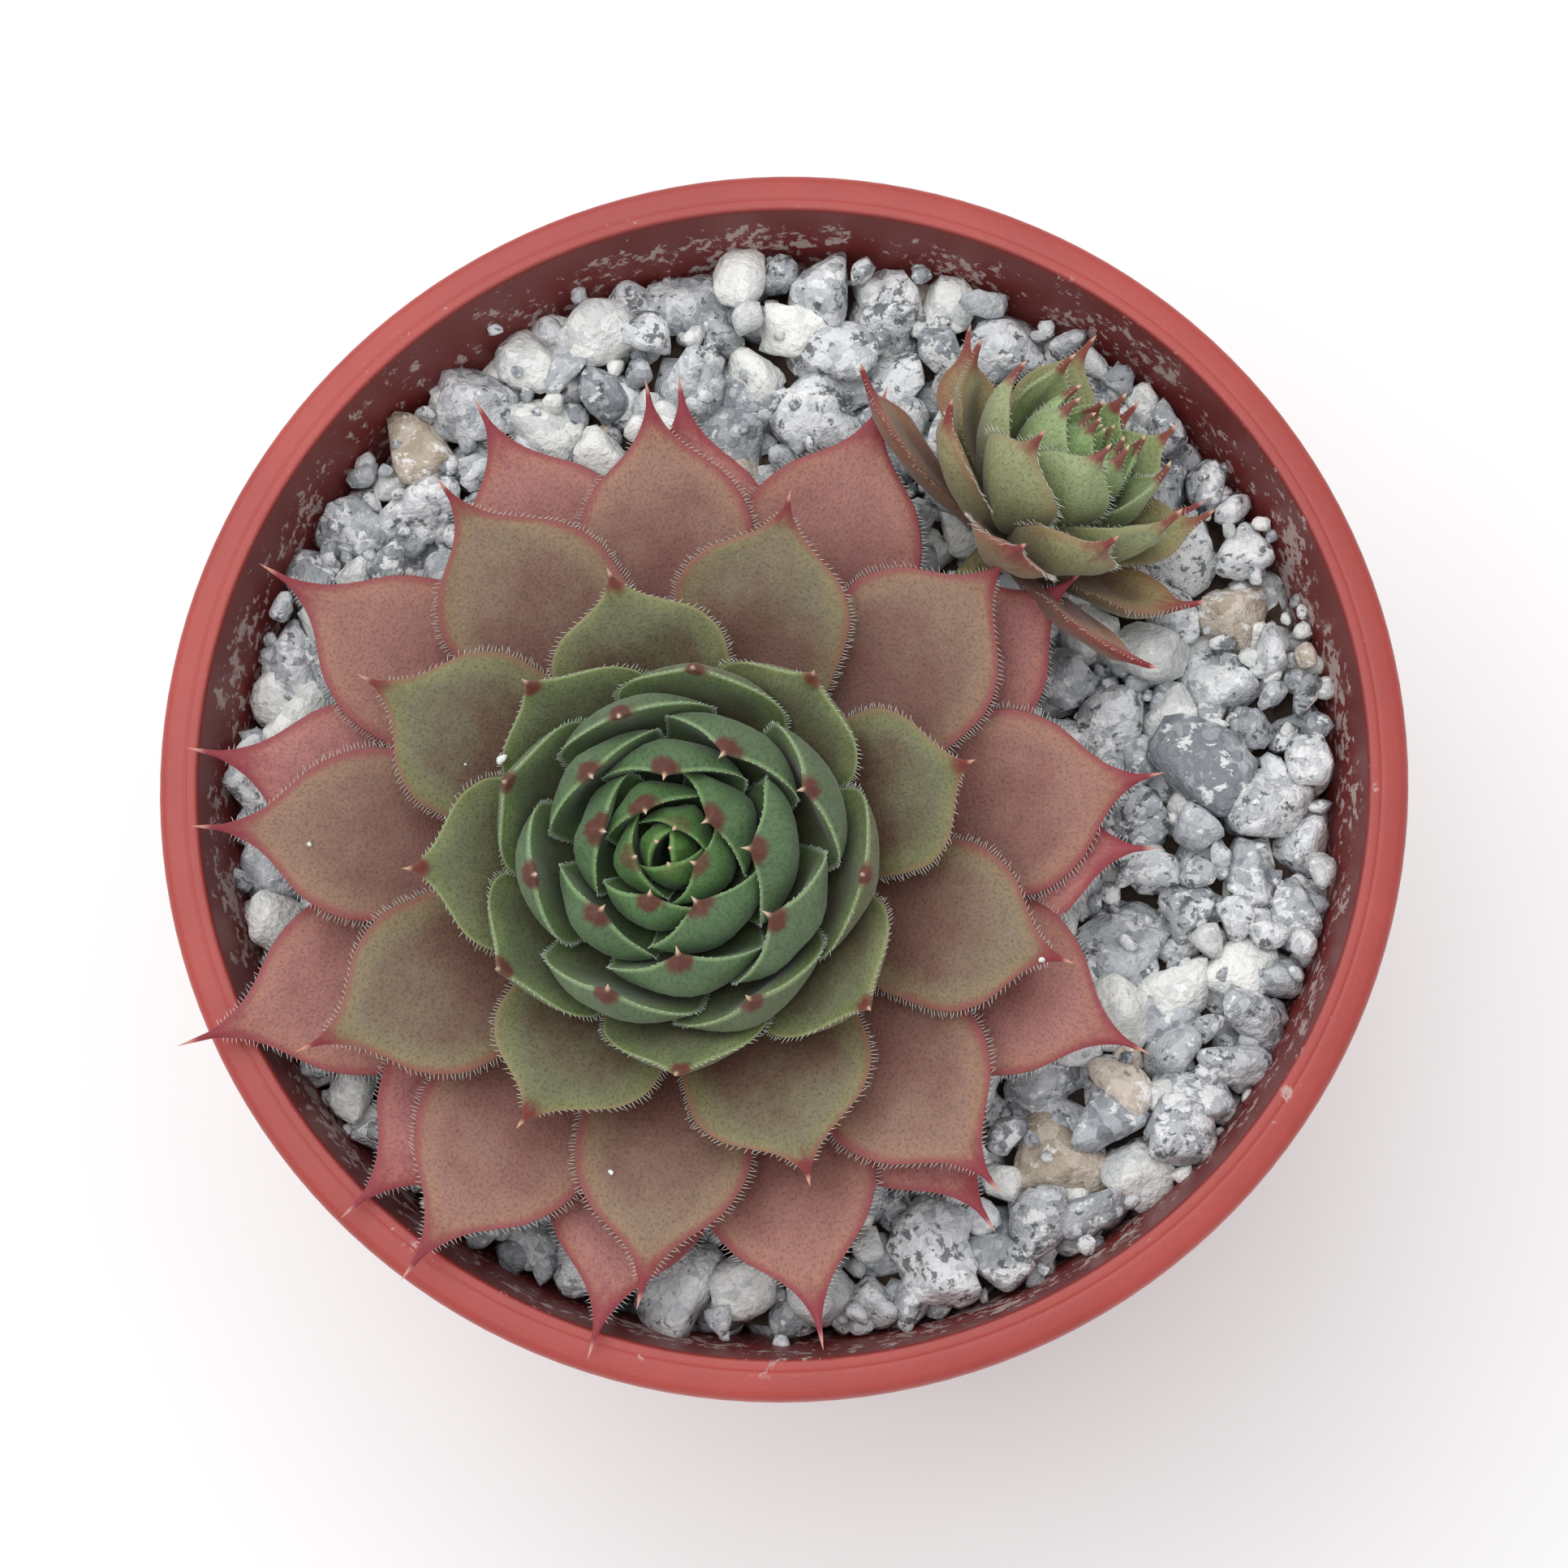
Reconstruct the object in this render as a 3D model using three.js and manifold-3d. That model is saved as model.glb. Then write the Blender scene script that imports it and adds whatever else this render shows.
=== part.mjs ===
// A hen-and-chicks houseleek in a small round nursery pot.
//
// Millimetres, +Z up. The origin is the centre of the circle that the pot's foot stands on.
// The model is a pot, the potting mix in it, a bed of stone grit, the mother rosette (a rootstock,
// open leaves and a tight bud) and one offset rosette on a runner (a stem, open leaves and a bud).
// The leaves of both rosettes follow the golden-angle spiral that such plants grow on.

import * as THREE from 'three';
import { mergeVertices } from 'three/addons/utils/BufferGeometryUtils.js';
import Module from 'manifold-3d';

const wasm = await Module();
wasm.setup();

// ---------------------------------------------------------------- driving dimensions

const GAP = 0.3; // clearance kept between neighbouring pieces
const FULL_TURN = 2 * Math.PI;
const UPWARDS = new THREE.Vector3(0, 0, 1);

const POT = {
  height: 50,
  rimRadius: 32.5, // outside of the collar at the rim
  lipRadius: 30.3, // inner edge of the rim
  lipRound: 0.35, // height over which the lip rounds off
  wall: 1.0,
  rimDepth: 1.3, // thickness of the rim's flange
  taper: 0.2, // inward lean of the wall per unit of depth
  collarDepth: 8,
  collarWall: 0.8,
  collarTaper: 0.3, // how much the collar draws in at its lower edge
  footOuter: 21.6,
  footInner: 18.8,
  footHeight: 1.6, // underside of the base panel
  basePanel: 1.2,
  drainHoles: 6,
  drainRadius: 2.4,
  drainCircle: 12.5,
  drainSegments: 12,
  segments: 48,
};

const GRIT = {
  top: 46.5, // mean level of the stones' tops
  depth: 2.2,
  sideGap: 0.45, // clearance to the wall
  bump: 0.6, // how far single stones stand above or below that level
  rings: 7,
  segments: 32,
};

// A rosette's leaves are numbered from 0, the oldest and outermost. The lists below run from the
// oldest leaf to the growing tip, with their values evenly spread over all the leaves.
// Radii and heights are measured from the rosette's axis and from the foot of that axis.
const MOTHER = {
  foot: [-3.5, -4.0, GRIT.top],
  lean: [-0.143, -0.152], // sideways shift of the axis per unit of height
  nod: { azimuth: 0, tilt: 0, bed: 1 }, // it nods over by the tilt in degrees
  firstAzimuth: 2.9,
  openLeaves: 36,
  allLeaves: 60,
  crowding: { size: 3.6, phase: 47.8 }, // degrees: leaves close up where they meet the rim
  reach: { size: 0.05, azimuth: 171 }, // the leaves over the low side of the rim grow longer
  tipRadius: [24.9, 27.0, 22.6, 12.4, 7.0, 2.9, 0.15],
  tipHeight: [4.7, 5.7, 8.7, 12.2, 13.8, 13.4, 12.3],
  tipGrip: [0.36, 0.36, 0.36, 0.38, 0.54, 0.58, 0.4], // how far the tip's slope reaches back
  baseRadius: [3.5, 3.0, 2.5, 2.1, 1.6, 1.1, 0.6],
  baseHeight: [0.9, 2.1, 3.3, 4.4, 5.6, 6.8, 8.0],
  baseAngle: [4, 5, 8, 18, 28, 38, 80], // slope of the leaf where it leaves the crown
  tipAngle: [18, 20, 22, 26, 32, 42, 60, 88, 116, 136, 146, 140, 110], // slope at its tip
  curl: { size: [0, 0, 0, 8, 16, 14, 0], azimuth: -40 }, // more slope on the bud's sunny side
  width: [9.0, 9.5, 9.3, 8.7, 8.0, 6.6, 3.2],
  widest: [0.62, 0.62, 0.62, 0.64, 0.68, 0.7, 0.7], // where along its length a leaf is widest
  point: [1.35, 1.35, 1.25, 1.0, 0.85, 0.7, 0.8], // how straight its shoulders run to its point
  pinch: [0.35, 0.35, 0.4, 0.4, 0.25, 0.1, 0], // how far they are hollowed below the point
  thickness: [1.8, 2.0, 2.1, 2.0, 2.1, 1.9, 1.0],
  cup: [0.8, 0.8, 0.8, 0.7, 0.55, 0.75, 1.0], // how closely a leaf wraps the axis
};

const OFFSET = {
  foot: [11.3, 12.0, 48.1],
  lean: [0, 0],
  nod: { azimuth: 43, tilt: 60, bed: 1.6 }, // the grit holds its low side up to this much
  firstAzimuth: -112,
  openLeaves: 14,
  allLeaves: 30,
  crowding: { size: 0, phase: 0 },
  reach: { size: 0.14, azimuth: 0 },
  tipRadius: [13.2, 9.2, 7.0, 3.6, 1.7, 0.15],
  tipHeight: [3.4, 6.0, 9.1, 10.0, 9.6, 9.0],
  tipGrip: [0.36, 0.36, 0.4, 0.42, 0.42, 0.36],
  baseRadius: [1.5, 1.3, 1.1, 0.9, 0.7, 0.4],
  baseHeight: [0.4, 1.2, 2.0, 2.8, 3.6, 4.4],
  baseAngle: [8, 16, 24, 32, 46, 75],
  tipAngle: [30, 60, 84, 98, 104, 95],
  curl: { size: [0, 0], azimuth: 0 },
  width: [4.6, 5.3, 5.4, 4.4, 2.8, 1.2],
  widest: [0.58, 0.58, 0.58, 0.6, 0.62, 0.62],
  point: [1.5, 1.4, 1.3, 1.3, 1.2, 1.0],
  pinch: [0.45, 0.45, 0.45, 0.4, 0.3, 0],
  thickness: [1.2, 1.4, 1.4, 1.2, 0.9, 0.5],
  cup: [0.9, 0.9, 0.9, 0.8, 0.8, 0.8],
};

const GOLDEN_ANGLE = 137.93; // degrees between one leaf and the next

const LEAF = {
  neck: 0.42, // width at the base as a share of the widest
  blade: 0.955, // where along its length the blade ends in its spine
  baseGrip: 0.36, // how far the base's slope reaches up the centreline, as a share of the chord
  upper: 0.3, // share of the thickness above the centreline
  thinning: 0.35, // share of the thickness lost by the tip
  hollowFrom: 0.4, // the shoulders are hollowed between these shares of their run
  hollowTo: 0.8,
  innermost: 1.5, // radius below which a leaf wraps no closer
};

// How finely a leaf is skinned: the places of its rings along it and the sides of each ring.
const OPEN_SKIN = { stations: [0, 0.25, 0.48, 0.66, 0.8, 0.9], sides: 6 };
const BUD_SKIN = { stations: [0, 0.5, 0.72, 0.88], sides: 4 };

const ROOTSTOCK = { depth: 15, footRadius: 1.3, neckRadius: 2.5, neckDepth: 3, sides: 12 };
// The offset's runner, and the rounded heel that it ends in below the offset's crown.
const RUNNER = {
  radius: 0.8,
  sag: 0.1,
  bendAt: 0.75, // where it turns up, as a share of its run
  standOff: 0.7, // how far from the mother's neck it starts
  steps: 8,
  sides: 8,
  heelRadius: 0.5,
  heelDepth: 0.9,
};

const ROUGHNESS = { pot: 0.45, bud: 0.55, leaf: 0.6, stem: 0.8, grit: 0.9, mix: 0.95 };

const COLOURS = {
  pot: '#b4504a',
  mix: '#3a2c22',
  grit: '#b9bcbd',
  stem: '#8a7a55',
  oldLeaf: '#96605a',
  youngLeaf: '#52704c',
};

// ---------------------------------------------------------------- solids

// A geometry with only positions, each shared vertex once and no collapsed triangle.
function cleaned(geometry) {
  geometry.deleteAttribute('normal');
  geometry.deleteAttribute('uv');
  const merged = mergeVertices(geometry, 1e-4);
  const corners = merged.index.array;
  const kept = [];
  for (let i = 0; i < corners.length; i += 3) {
    const [a, b, c] = [corners[i], corners[i + 1], corners[i + 2]];
    if (a !== b && b !== c && c !== a) kept.push(a, b, c);
  }
  merged.setIndex(kept);
  return merged;
}

function signedVolume(geometry) {
  const place = geometry.attributes.position;
  const corners = geometry.index.array;
  const [a, b, c] = [new THREE.Vector3(), new THREE.Vector3(), new THREE.Vector3()];
  let volume = 0;
  for (let i = 0; i < corners.length; i += 3) {
    a.fromBufferAttribute(place, corners[i]);
    b.fromBufferAttribute(place, corners[i + 1]);
    c.fromBufferAttribute(place, corners[i + 2]);
    volume += a.dot(b.cross(c)) / 6;
  }
  return volume;
}

// Turns a closed geometry into a solid, with its faces pointing out.
function toSolid(geometry) {
  const closed = cleaned(geometry);
  const corners = Uint32Array.from(closed.index.array);
  if (signedVolume(closed) < 0) {
    for (let i = 0; i < corners.length; i += 3) {
      [corners[i], corners[i + 1]] = [corners[i + 1], corners[i]];
    }
  }
  return new wasm.Manifold(new wasm.Mesh({
    numProp: 3,
    vertProperties: Float32Array.from(closed.attributes.position.array),
    triVerts: corners,
  }));
}

function toGeometry(solid) {
  const mesh = solid.getMesh();
  const geometry = new THREE.BufferGeometry();
  const points = new THREE.BufferAttribute(mesh.vertProperties, mesh.numProp);
  geometry.setAttribute('position', points);
  geometry.setIndex(Array.from(mesh.triVerts));
  geometry.computeVertexNormals();
  return geometry;
}

// The biggest piece of a solid that a cut may have left in parts.
function largestPiece(solid) {
  const pieces = solid.decompose();
  return pieces.reduce((best, piece) => (piece.volume() > best.volume() ? piece : best));
}

function unionOf(solids) {
  return solids.reduce((sum, solid) => sum.add(solid));
}

// Skins closed rings of points, with a point before the first ring and one after the last.
function loft(startPoint, rings, endPoint) {
  const points = [startPoint, ...rings.flat(), endPoint];
  const sides = rings[0].length;
  const corner = (ring, side) => 1 + ring * sides + (side % sides);
  const last = points.length - 1;
  const corners = [];
  for (let side = 0; side < sides; side++) {
    corners.push(0, corner(0, side + 1), corner(0, side));
    for (let ring = 0; ring < rings.length - 1; ring++) {
      const [a, b] = [corner(ring, side), corner(ring, side + 1)];
      const [c, d] = [corner(ring + 1, side + 1), corner(ring + 1, side)];
      corners.push(a, b, c, a, c, d);
    }
    corners.push(last, corner(rings.length - 1, side), corner(rings.length - 1, side + 1));
  }
  const geometry = new THREE.BufferGeometry().setFromPoints(points);
  geometry.setIndex(corners);
  return toSolid(geometry);
}

// A solid of revolution about Z from [radius, height] pairs that start and end on the axis.
function turned(profile, segments) {
  const outline = profile.map(([radius, height]) => new THREE.Vector2(radius, height));
  const geometry = new THREE.LatheGeometry(outline, segments);
  geometry.rotateX(Math.PI / 2);
  return toSolid(geometry);
}

function upright(radius, low, high, segments) {
  return turned([[0, low], [radius, low], [radius, high], [0, high]], segments);
}

// A repeatable random number from 0 to 1 for each whole number.
function scatter(seed) {
  const wave = Math.sin(seed * 12.9898 + 4.1414) * 43758.5453;
  return wave - Math.floor(wave);
}

// ---------------------------------------------------------------- pot, mix and grit

// Inner radius of the pot's wall at a height.
function innerWall(height) {
  return POT.lipRadius - POT.taper * (POT.height - height);
}

function potSolid() {
  const { height, rimRadius, lipRadius, lipRound, wall, collarWall } = POT;
  const panelTop = POT.footHeight + POT.basePanel;
  const collarFoot = height - POT.collarDepth;
  const collarEdge = rimRadius - POT.collarTaper;
  const grooveTop = height - POT.rimDepth;
  const outerWall = (level) => innerWall(level) + wall;
  const profile = [
    [0, POT.footHeight],
    [POT.footInner, POT.footHeight],
    [POT.footInner + lipRound, 0],
    [POT.footOuter, 0],
    [outerWall(wall), wall],
    [outerWall(grooveTop), grooveTop],
    [rimRadius - collarWall, grooveTop],
    [collarEdge - collarWall, collarFoot],
    [collarEdge, collarFoot],
    [rimRadius, height - 2 * lipRound],
    [rimRadius - lipRound, height - 0.4 * lipRound],
    [rimRadius - 3 * lipRound, height],
    [lipRadius + lipRound, height],
    [lipRadius, height - lipRound],
    [innerWall(panelTop + wall), panelTop + wall],
    [innerWall(panelTop + wall) - wall, panelTop],
    [0, panelTop],
  ];
  const shell = turned(profile, POT.segments);
  const holes = [];
  for (let i = 0; i < POT.drainHoles; i++) {
    const angle = FULL_TURN * (i / POT.drainHoles);
    const hole = upright(POT.drainRadius, 0, panelTop + 1, POT.drainSegments);
    const [x, y] = [Math.cos(angle) * POT.drainCircle, Math.sin(angle) * POT.drainCircle];
    holes.push(hole.translate([x, y, 0]));
  }
  return shell.subtract(unionOf(holes));
}

function mixSolid() {
  const low = POT.footHeight + POT.basePanel + GAP;
  const high = GRIT.top - GRIT.depth - GAP;
  const heel = low + POT.wall;
  return turned([
    [0, low],
    [innerWall(heel) - POT.wall - 2 * GAP, low],
    [innerWall(heel) - 2 * GAP, heel],
    [innerWall(high) - 2 * GAP, high],
    [0, high],
  ], GRIT.segments);
}

// The grit: a flat-bottomed bed whose top is broken up by the stones that lie in it.
function gritSolid(rise) {
  const { rings: ringCount, segments, bump } = GRIT;
  const foot = GRIT.top - GRIT.depth - rise;
  const edge = (level) => innerWall(level) - GRIT.sideGap;
  const rings = [];
  for (let ring = 0; ring <= ringCount; ring++) {
    const share = 1 - ring / (ringCount + 1);
    const points = [];
    for (let side = 0; side < segments; side++) {
      const jitter = scatter(ring * segments + side);
      const atWall = ring === 0;
      const angle = FULL_TURN * ((side + (atWall ? 0 : 0.5 * jitter)) / segments);
      const level = GRIT.top + rise + bump * (atWall ? -1.5 : 2 * jitter - 1);
      const radius = edge(GRIT.top) * share - (atWall ? bump : 0);
      points.push(new THREE.Vector3(radius * Math.cos(angle), radius * Math.sin(angle), level));
    }
    rings.push(points);
  }
  const underside = rings[0].map((point) => {
    const radius = edge(foot) - 2 * bump;
    return new THREE.Vector3(point.x, point.y, 0).setLength(radius).setZ(foot);
  });
  const low = new THREE.Vector3(0, 0, foot);
  const high = new THREE.Vector3(0, 0, GRIT.top + rise);
  return loft(low, [underside, ...rings], high);
}

// ---------------------------------------------------------------- rosettes

// The value of a rosette's list at a leaf, in proportion between its two nearest entries.
function atLeaf(rosette, list, leaf) {
  const stage = (leaf / rosette.allLeaves) * (list.length - 1);
  const lower = Math.min(Math.floor(stage), list.length - 2);
  return THREE.MathUtils.lerp(list[lower], list[lower + 1], stage - lower);
}

// The point at a radius and height in the upright plane of a leaf, in the pot's frame. A rosette
// that nods over sinks on its low side, but only as far as the grit lets it.
function leafPoint(rosette, azimuth, radius, height, across) {
  const [leanX, leanY] = rosette.lean;
  const [c, s] = [Math.cos(azimuth), Math.sin(azimuth)];
  const x = leanX * height + radius * c - across * s;
  const y = leanY * height + radius * s + across * c;
  const { bed } = rosette.nod;
  const sunk = x > 0 ? bed * (1 - Math.exp(-x / bed)) : x;
  const tilt = THREE.MathUtils.degToRad(rosette.nod.tilt);
  const ahead = x * Math.cos(tilt) + height * Math.sin(tilt);
  const up = height * Math.cos(tilt) - sunk * Math.sin(tilt);
  const swing = THREE.MathUtils.degToRad(rosette.nod.azimuth);
  const point = new THREE.Vector3(ahead, y, up).applyAxisAngle(UPWARDS, swing);
  return point.add(new THREE.Vector3(...rosette.foot));
}

function leafAzimuth(rosette, leaf) {
  const spiral = rosette.firstAzimuth - GOLDEN_ANGLE * leaf;
  const { size, phase } = rosette.crowding;
  const crowded = spiral + size * Math.sin(THREE.MathUtils.degToRad(2 * spiral - phase));
  return THREE.MathUtils.degToRad(crowded);
}

// The share of a leaf's full width at a place along it, from 0 at the base to 1 at the point.
function widthShare(widest, point, pinch, along) {
  if (along < widest) {
    const swell = Math.sin((Math.PI / 2) * (along / widest));
    return LEAF.neck + (1 - LEAF.neck) * swell;
  }
  const run = Math.min((along - widest) / (LEAF.blade - widest), 1);
  const hollow = pinch * THREE.MathUtils.smoothstep(run, LEAF.hollowFrom, LEAF.hollowTo);
  return Math.cos((Math.PI / 2) * run) ** point * (1 - hollow);
}

// One leaf: a centreline that curves up from the crown, a flat cupped face towards the axis and
// a rounded back. Swell makes the same leaf bigger all round, to cut clearance with.
function leafSolid(rosette, leaf, swell, skin) {
  const azimuth = leafAzimuth(rosette, leaf);
  const at = (list) => atLeaf(rosette, list, leaf);
  const facing = azimuth - THREE.MathUtils.degToRad(rosette.reach.azimuth);
  const reach = 1 + rosette.reach.size * Math.cos(facing);
  const base = new THREE.Vector2(at(rosette.baseRadius), at(rosette.baseHeight));
  const tip = new THREE.Vector2(at(rosette.tipRadius) * reach, at(rosette.tipHeight));
  const chord = base.distanceTo(tip);
  const towards = (degrees, grip) => {
    const angle = THREE.MathUtils.degToRad(degrees);
    return new THREE.Vector2(Math.cos(angle), Math.sin(angle)).multiplyScalar(grip * chord);
  };
  const sunny = Math.cos(azimuth - THREE.MathUtils.degToRad(rosette.curl.azimuth));
  const tipAngle = at(rosette.tipAngle) + at(rosette.curl.size) * sunny;
  const centreline = new THREE.CubicBezierCurve(
    base,
    base.clone().add(towards(at(rosette.baseAngle), LEAF.baseGrip)),
    tip.clone().sub(towards(tipAngle, at(rosette.tipGrip))),
    tip,
  );
  const rings = skin.stations.map((along) => {
    const centre = centreline.getPoint(along);
    const ahead = centreline.getTangent(along);
    const share = widthShare(at(rosette.widest), at(rosette.point), at(rosette.pinch), along);
    const halfWidth = 0.5 * share * at(rosette.width);
    const thickness = at(rosette.thickness) * Math.sqrt(share) * (1 - LEAF.thinning * along);
    const wrapped = 2 * Math.max(centre.x, LEAF.innermost);
    const cup = (at(rosette.cup) * halfWidth ** 2) / wrapped;
    const ring = [];
    for (let side = 0; side < skin.sides; side++) {
      const angle = FULL_TURN * (side / skin.sides);
      const across = (halfWidth + swell) * Math.cos(angle);
      const face = Math.sin(angle) > 0 ? LEAF.upper : 1 - LEAF.upper;
      const rise = (face * thickness + swell) * Math.sin(angle) + cup * Math.cos(angle) ** 2;
      const radius = centre.x - ahead.y * rise;
      const height = centre.y + ahead.x * rise;
      ring.push(leafPoint(rosette, azimuth, radius, height, across));
    }
    return ring;
  });
  const [first, last] = [skin.stations[0], 1].map((along) => centreline.getPoint(along));
  const [startway, endway] = [centreline.getTangent(0), centreline.getTangent(1)];
  const start = first.addScaledVector(startway, -swell);
  const end = last.addScaledVector(endway, swell);
  return loft(
    leafPoint(rosette, azimuth, start.x, start.y, 0),
    rings,
    leafPoint(rosette, azimuth, end.x, end.y, 0),
  );
}

// A round core that follows the rosette's axis through [radius, height] pairs.
function coreSolid(rosette, profile, swell) {
  const rings = profile.map(([radius, height]) => {
    const ring = [];
    for (let side = 0; side < ROOTSTOCK.sides; side++) {
      const angle = FULL_TURN * (side / ROOTSTOCK.sides);
      ring.push(leafPoint(rosette, angle, radius + swell, height, 0));
    }
    return ring;
  });
  const low = profile[0][1] - swell;
  const high = profile[profile.length - 1][1] + swell;
  const start = leafPoint(rosette, 0, 0, low, 0);
  const end = leafPoint(rosette, 0, 0, high, 0);
  return loft(start, rings, end);
}

// The bud: the young leaves that stay pressed together round the growing tip.
function budSolid(rosette, swell) {
  const leaves = [];
  for (let leaf = rosette.openLeaves; leaf <= rosette.allLeaves; leaf++) {
    leaves.push(leafSolid(rosette, leaf, swell, BUD_SKIN));
  }
  const { baseRadius, baseHeight, tipHeight } = rosette;
  const [footRadius, footHeight] = [baseRadius, baseHeight].map(
    (list) => atLeaf(rosette, list, rosette.openLeaves),
  );
  const top = 0.5 * (baseHeight.at(-1) + tipHeight.at(-1));
  const profile = [[footRadius + GAP, footHeight], [baseRadius.at(-1) + GAP, top]];
  const heart = coreSolid(rosette, profile, swell);
  return unionOf([heart, ...leaves]);
}

// The crown that the open leaves sit on: it narrows upwards, a little inside the leaf bases.
function crownProfile(rosette) {
  const { baseRadius, baseHeight, openLeaves, allLeaves } = rosette;
  const stages = Math.floor((openLeaves / allLeaves) * (baseRadius.length - 1));
  const profile = [];
  for (let stage = 0; stage <= stages; stage++) {
    profile.push([baseRadius[stage] - 2 * GAP, baseHeight[stage]]);
  }
  return profile;
}

function motherStem(swell) {
  const root = [
    [ROOTSTOCK.footRadius, -ROOTSTOCK.depth],
    [ROOTSTOCK.neckRadius, -ROOTSTOCK.neckDepth],
  ];
  return coreSolid(MOTHER, [...root, ...crownProfile(MOTHER)], swell);
}

// The offset's stem: the crown of the small rosette and the runner that it grew out on.
function offsetStem(swell) {
  const heel = [RUNNER.heelRadius, -RUNNER.heelDepth];
  const crown = coreSolid(OFFSET, [heel, ...crownProfile(OFFSET)], swell);
  const end = leafPoint(OFFSET, 0, 0, 0, 0);
  const [x, y, z] = MOTHER.foot;
  const away = new THREE.Vector3(end.x - x, end.y - y, 0).normalize();
  const clear = ROOTSTOCK.neckRadius + RUNNER.standOff;
  const start = new THREE.Vector3(x, y, z).addScaledVector(away, clear);
  const bend = start.clone().lerp(end, RUNNER.bendAt);
  bend.z = z - RUNNER.sag;
  const route = new THREE.QuadraticBezierCurve3(start, bend, end);
  const section = new THREE.Shape();
  for (let side = 0; side < RUNNER.sides; side++) {
    const angle = FULL_TURN * (side / RUNNER.sides);
    const radius = RUNNER.radius + swell;
    const [px, py] = [radius * Math.cos(angle), radius * Math.sin(angle)];
    if (side === 0) section.moveTo(px, py);
    else section.lineTo(px, py);
  }
  section.closePath();
  const settings = { steps: RUNNER.steps, extrudePath: route, curveSegments: 1 };
  const runner = toSolid(new THREE.ExtrudeGeometry(section, settings));
  return crown.add(runner);
}

// ---------------------------------------------------------------- assembly

const plant = new THREE.Group();

function addPiece(name, solid, colour, roughness) {
  const look = new THREE.MeshStandardMaterial({ color: colour, roughness, metalness: 0 });
  const mesh = new THREE.Mesh(toGeometry(largestPiece(solid)), look);
  mesh.name = name;
  plant.add(mesh);
}

// Adds open leaves, from the bud outwards, each cut clear of everything that already stands.
// Gives back what stands then.
function addOpenLeaves(rosette, prefix, standing) {
  let taken = standing;
  for (let leaf = rosette.openLeaves - 1; leaf >= 0; leaf--) {
    const trimmed = leafSolid(rosette, leaf, 0, OPEN_SKIN).subtract(taken);
    const number = String(leaf + 1).padStart(2, '0');
    const ripeness = leaf / rosette.openLeaves;
    const colour = new THREE.Color(COLOURS.oldLeaf);
    colour.lerp(new THREE.Color(COLOURS.youngLeaf), ripeness);
    addPiece(`${prefix}_leaf_${number}`, trimmed, colour, ROUGHNESS.leaf);
    taken = taken.add(leafSolid(rosette, leaf, GAP, OPEN_SKIN));
  }
  return taken;
}

const clearances = {
  bud: budSolid(MOTHER, GAP),
  stem: motherStem(GAP),
  runner: offsetStem(GAP),
  offsetBud: budSolid(OFFSET, GAP),
  rim: potSolid().translate([0, 0, GAP]),
  grit: gritSolid(GAP),
};

addPiece('pot', potSolid(), COLOURS.pot, ROUGHNESS.pot);
addPiece('main_bud', budSolid(MOTHER, 0), COLOURS.youngLeaf, ROUGHNESS.bud);
addPiece('main_stem', motherStem(0).subtract(clearances.bud), COLOURS.stem, ROUGHNESS.stem);

const offsetBud = budSolid(OFFSET, 0).subtract(clearances.bud);
const runner = offsetStem(0).subtract(unionOf([clearances.stem, clearances.offsetBud]));
addPiece('offset_bud', offsetBud, COLOURS.youngLeaf, ROUGHNESS.bud);
addPiece('offset_stem', runner, COLOURS.stem, ROUGHNESS.stem);

const aroundOffset = addOpenLeaves(MOTHER, 'main', unionOf(Object.values(clearances)));
addOpenLeaves(OFFSET, 'offset', aroundOffset);

const holes = unionOf([clearances.stem, clearances.runner, clearances.offsetBud]);
addPiece('grit_top_dressing', gritSolid(0).subtract(holes), COLOURS.grit, ROUGHNESS.grit);
addPiece('potting_mix', mixSolid().subtract(holes), COLOURS.mix, ROUGHNESS.mix);

export default plant;
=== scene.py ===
"""Dresses a potted houseleek round its fixed CAD frame.

Everything is in metres with +Z up, in the CAD model's own frame, and the classes say where their
sizes are in millimetres. The pot, the bed of stones and the rosettes are each built by a class of
their own. The camera looks down on the plant, a little from its front, under soft light.
"""

import logging
import math
import random
from dataclasses import dataclass, field
from enum import Enum

import bmesh
import bpy
import numpy as np
from mathutils import Matrix, Vector


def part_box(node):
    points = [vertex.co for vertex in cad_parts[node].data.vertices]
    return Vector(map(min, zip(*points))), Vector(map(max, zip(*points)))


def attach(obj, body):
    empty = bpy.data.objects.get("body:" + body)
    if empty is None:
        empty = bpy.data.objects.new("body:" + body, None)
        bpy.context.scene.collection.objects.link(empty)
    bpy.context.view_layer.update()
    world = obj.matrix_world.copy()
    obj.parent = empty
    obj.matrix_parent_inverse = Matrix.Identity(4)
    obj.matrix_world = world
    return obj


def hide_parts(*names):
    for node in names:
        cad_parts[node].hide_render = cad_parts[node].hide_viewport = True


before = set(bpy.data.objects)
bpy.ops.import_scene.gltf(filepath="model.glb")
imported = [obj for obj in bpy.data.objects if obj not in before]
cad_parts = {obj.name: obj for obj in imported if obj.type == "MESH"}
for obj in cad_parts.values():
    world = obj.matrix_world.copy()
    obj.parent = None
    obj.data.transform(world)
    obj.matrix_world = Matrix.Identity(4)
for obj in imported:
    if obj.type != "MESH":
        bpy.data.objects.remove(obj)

LOG = logging.getLogger("houseleek")
MM = 0.001
FULL_TURN = 2.0 * math.pi

# The pot's inside radius at its lip, in millimetres, and how fast its wall narrows downwards.
LIP_RADIUS = 30.3
WALL_TAPER = 0.2

Colour = tuple[float, float, float, float]
Stops = tuple[tuple[float, str], ...]
Socket = bpy.types.NodeSocket
Feed = float | Socket


# ------------------------------------------------------------------------------ colours and nodes


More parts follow.
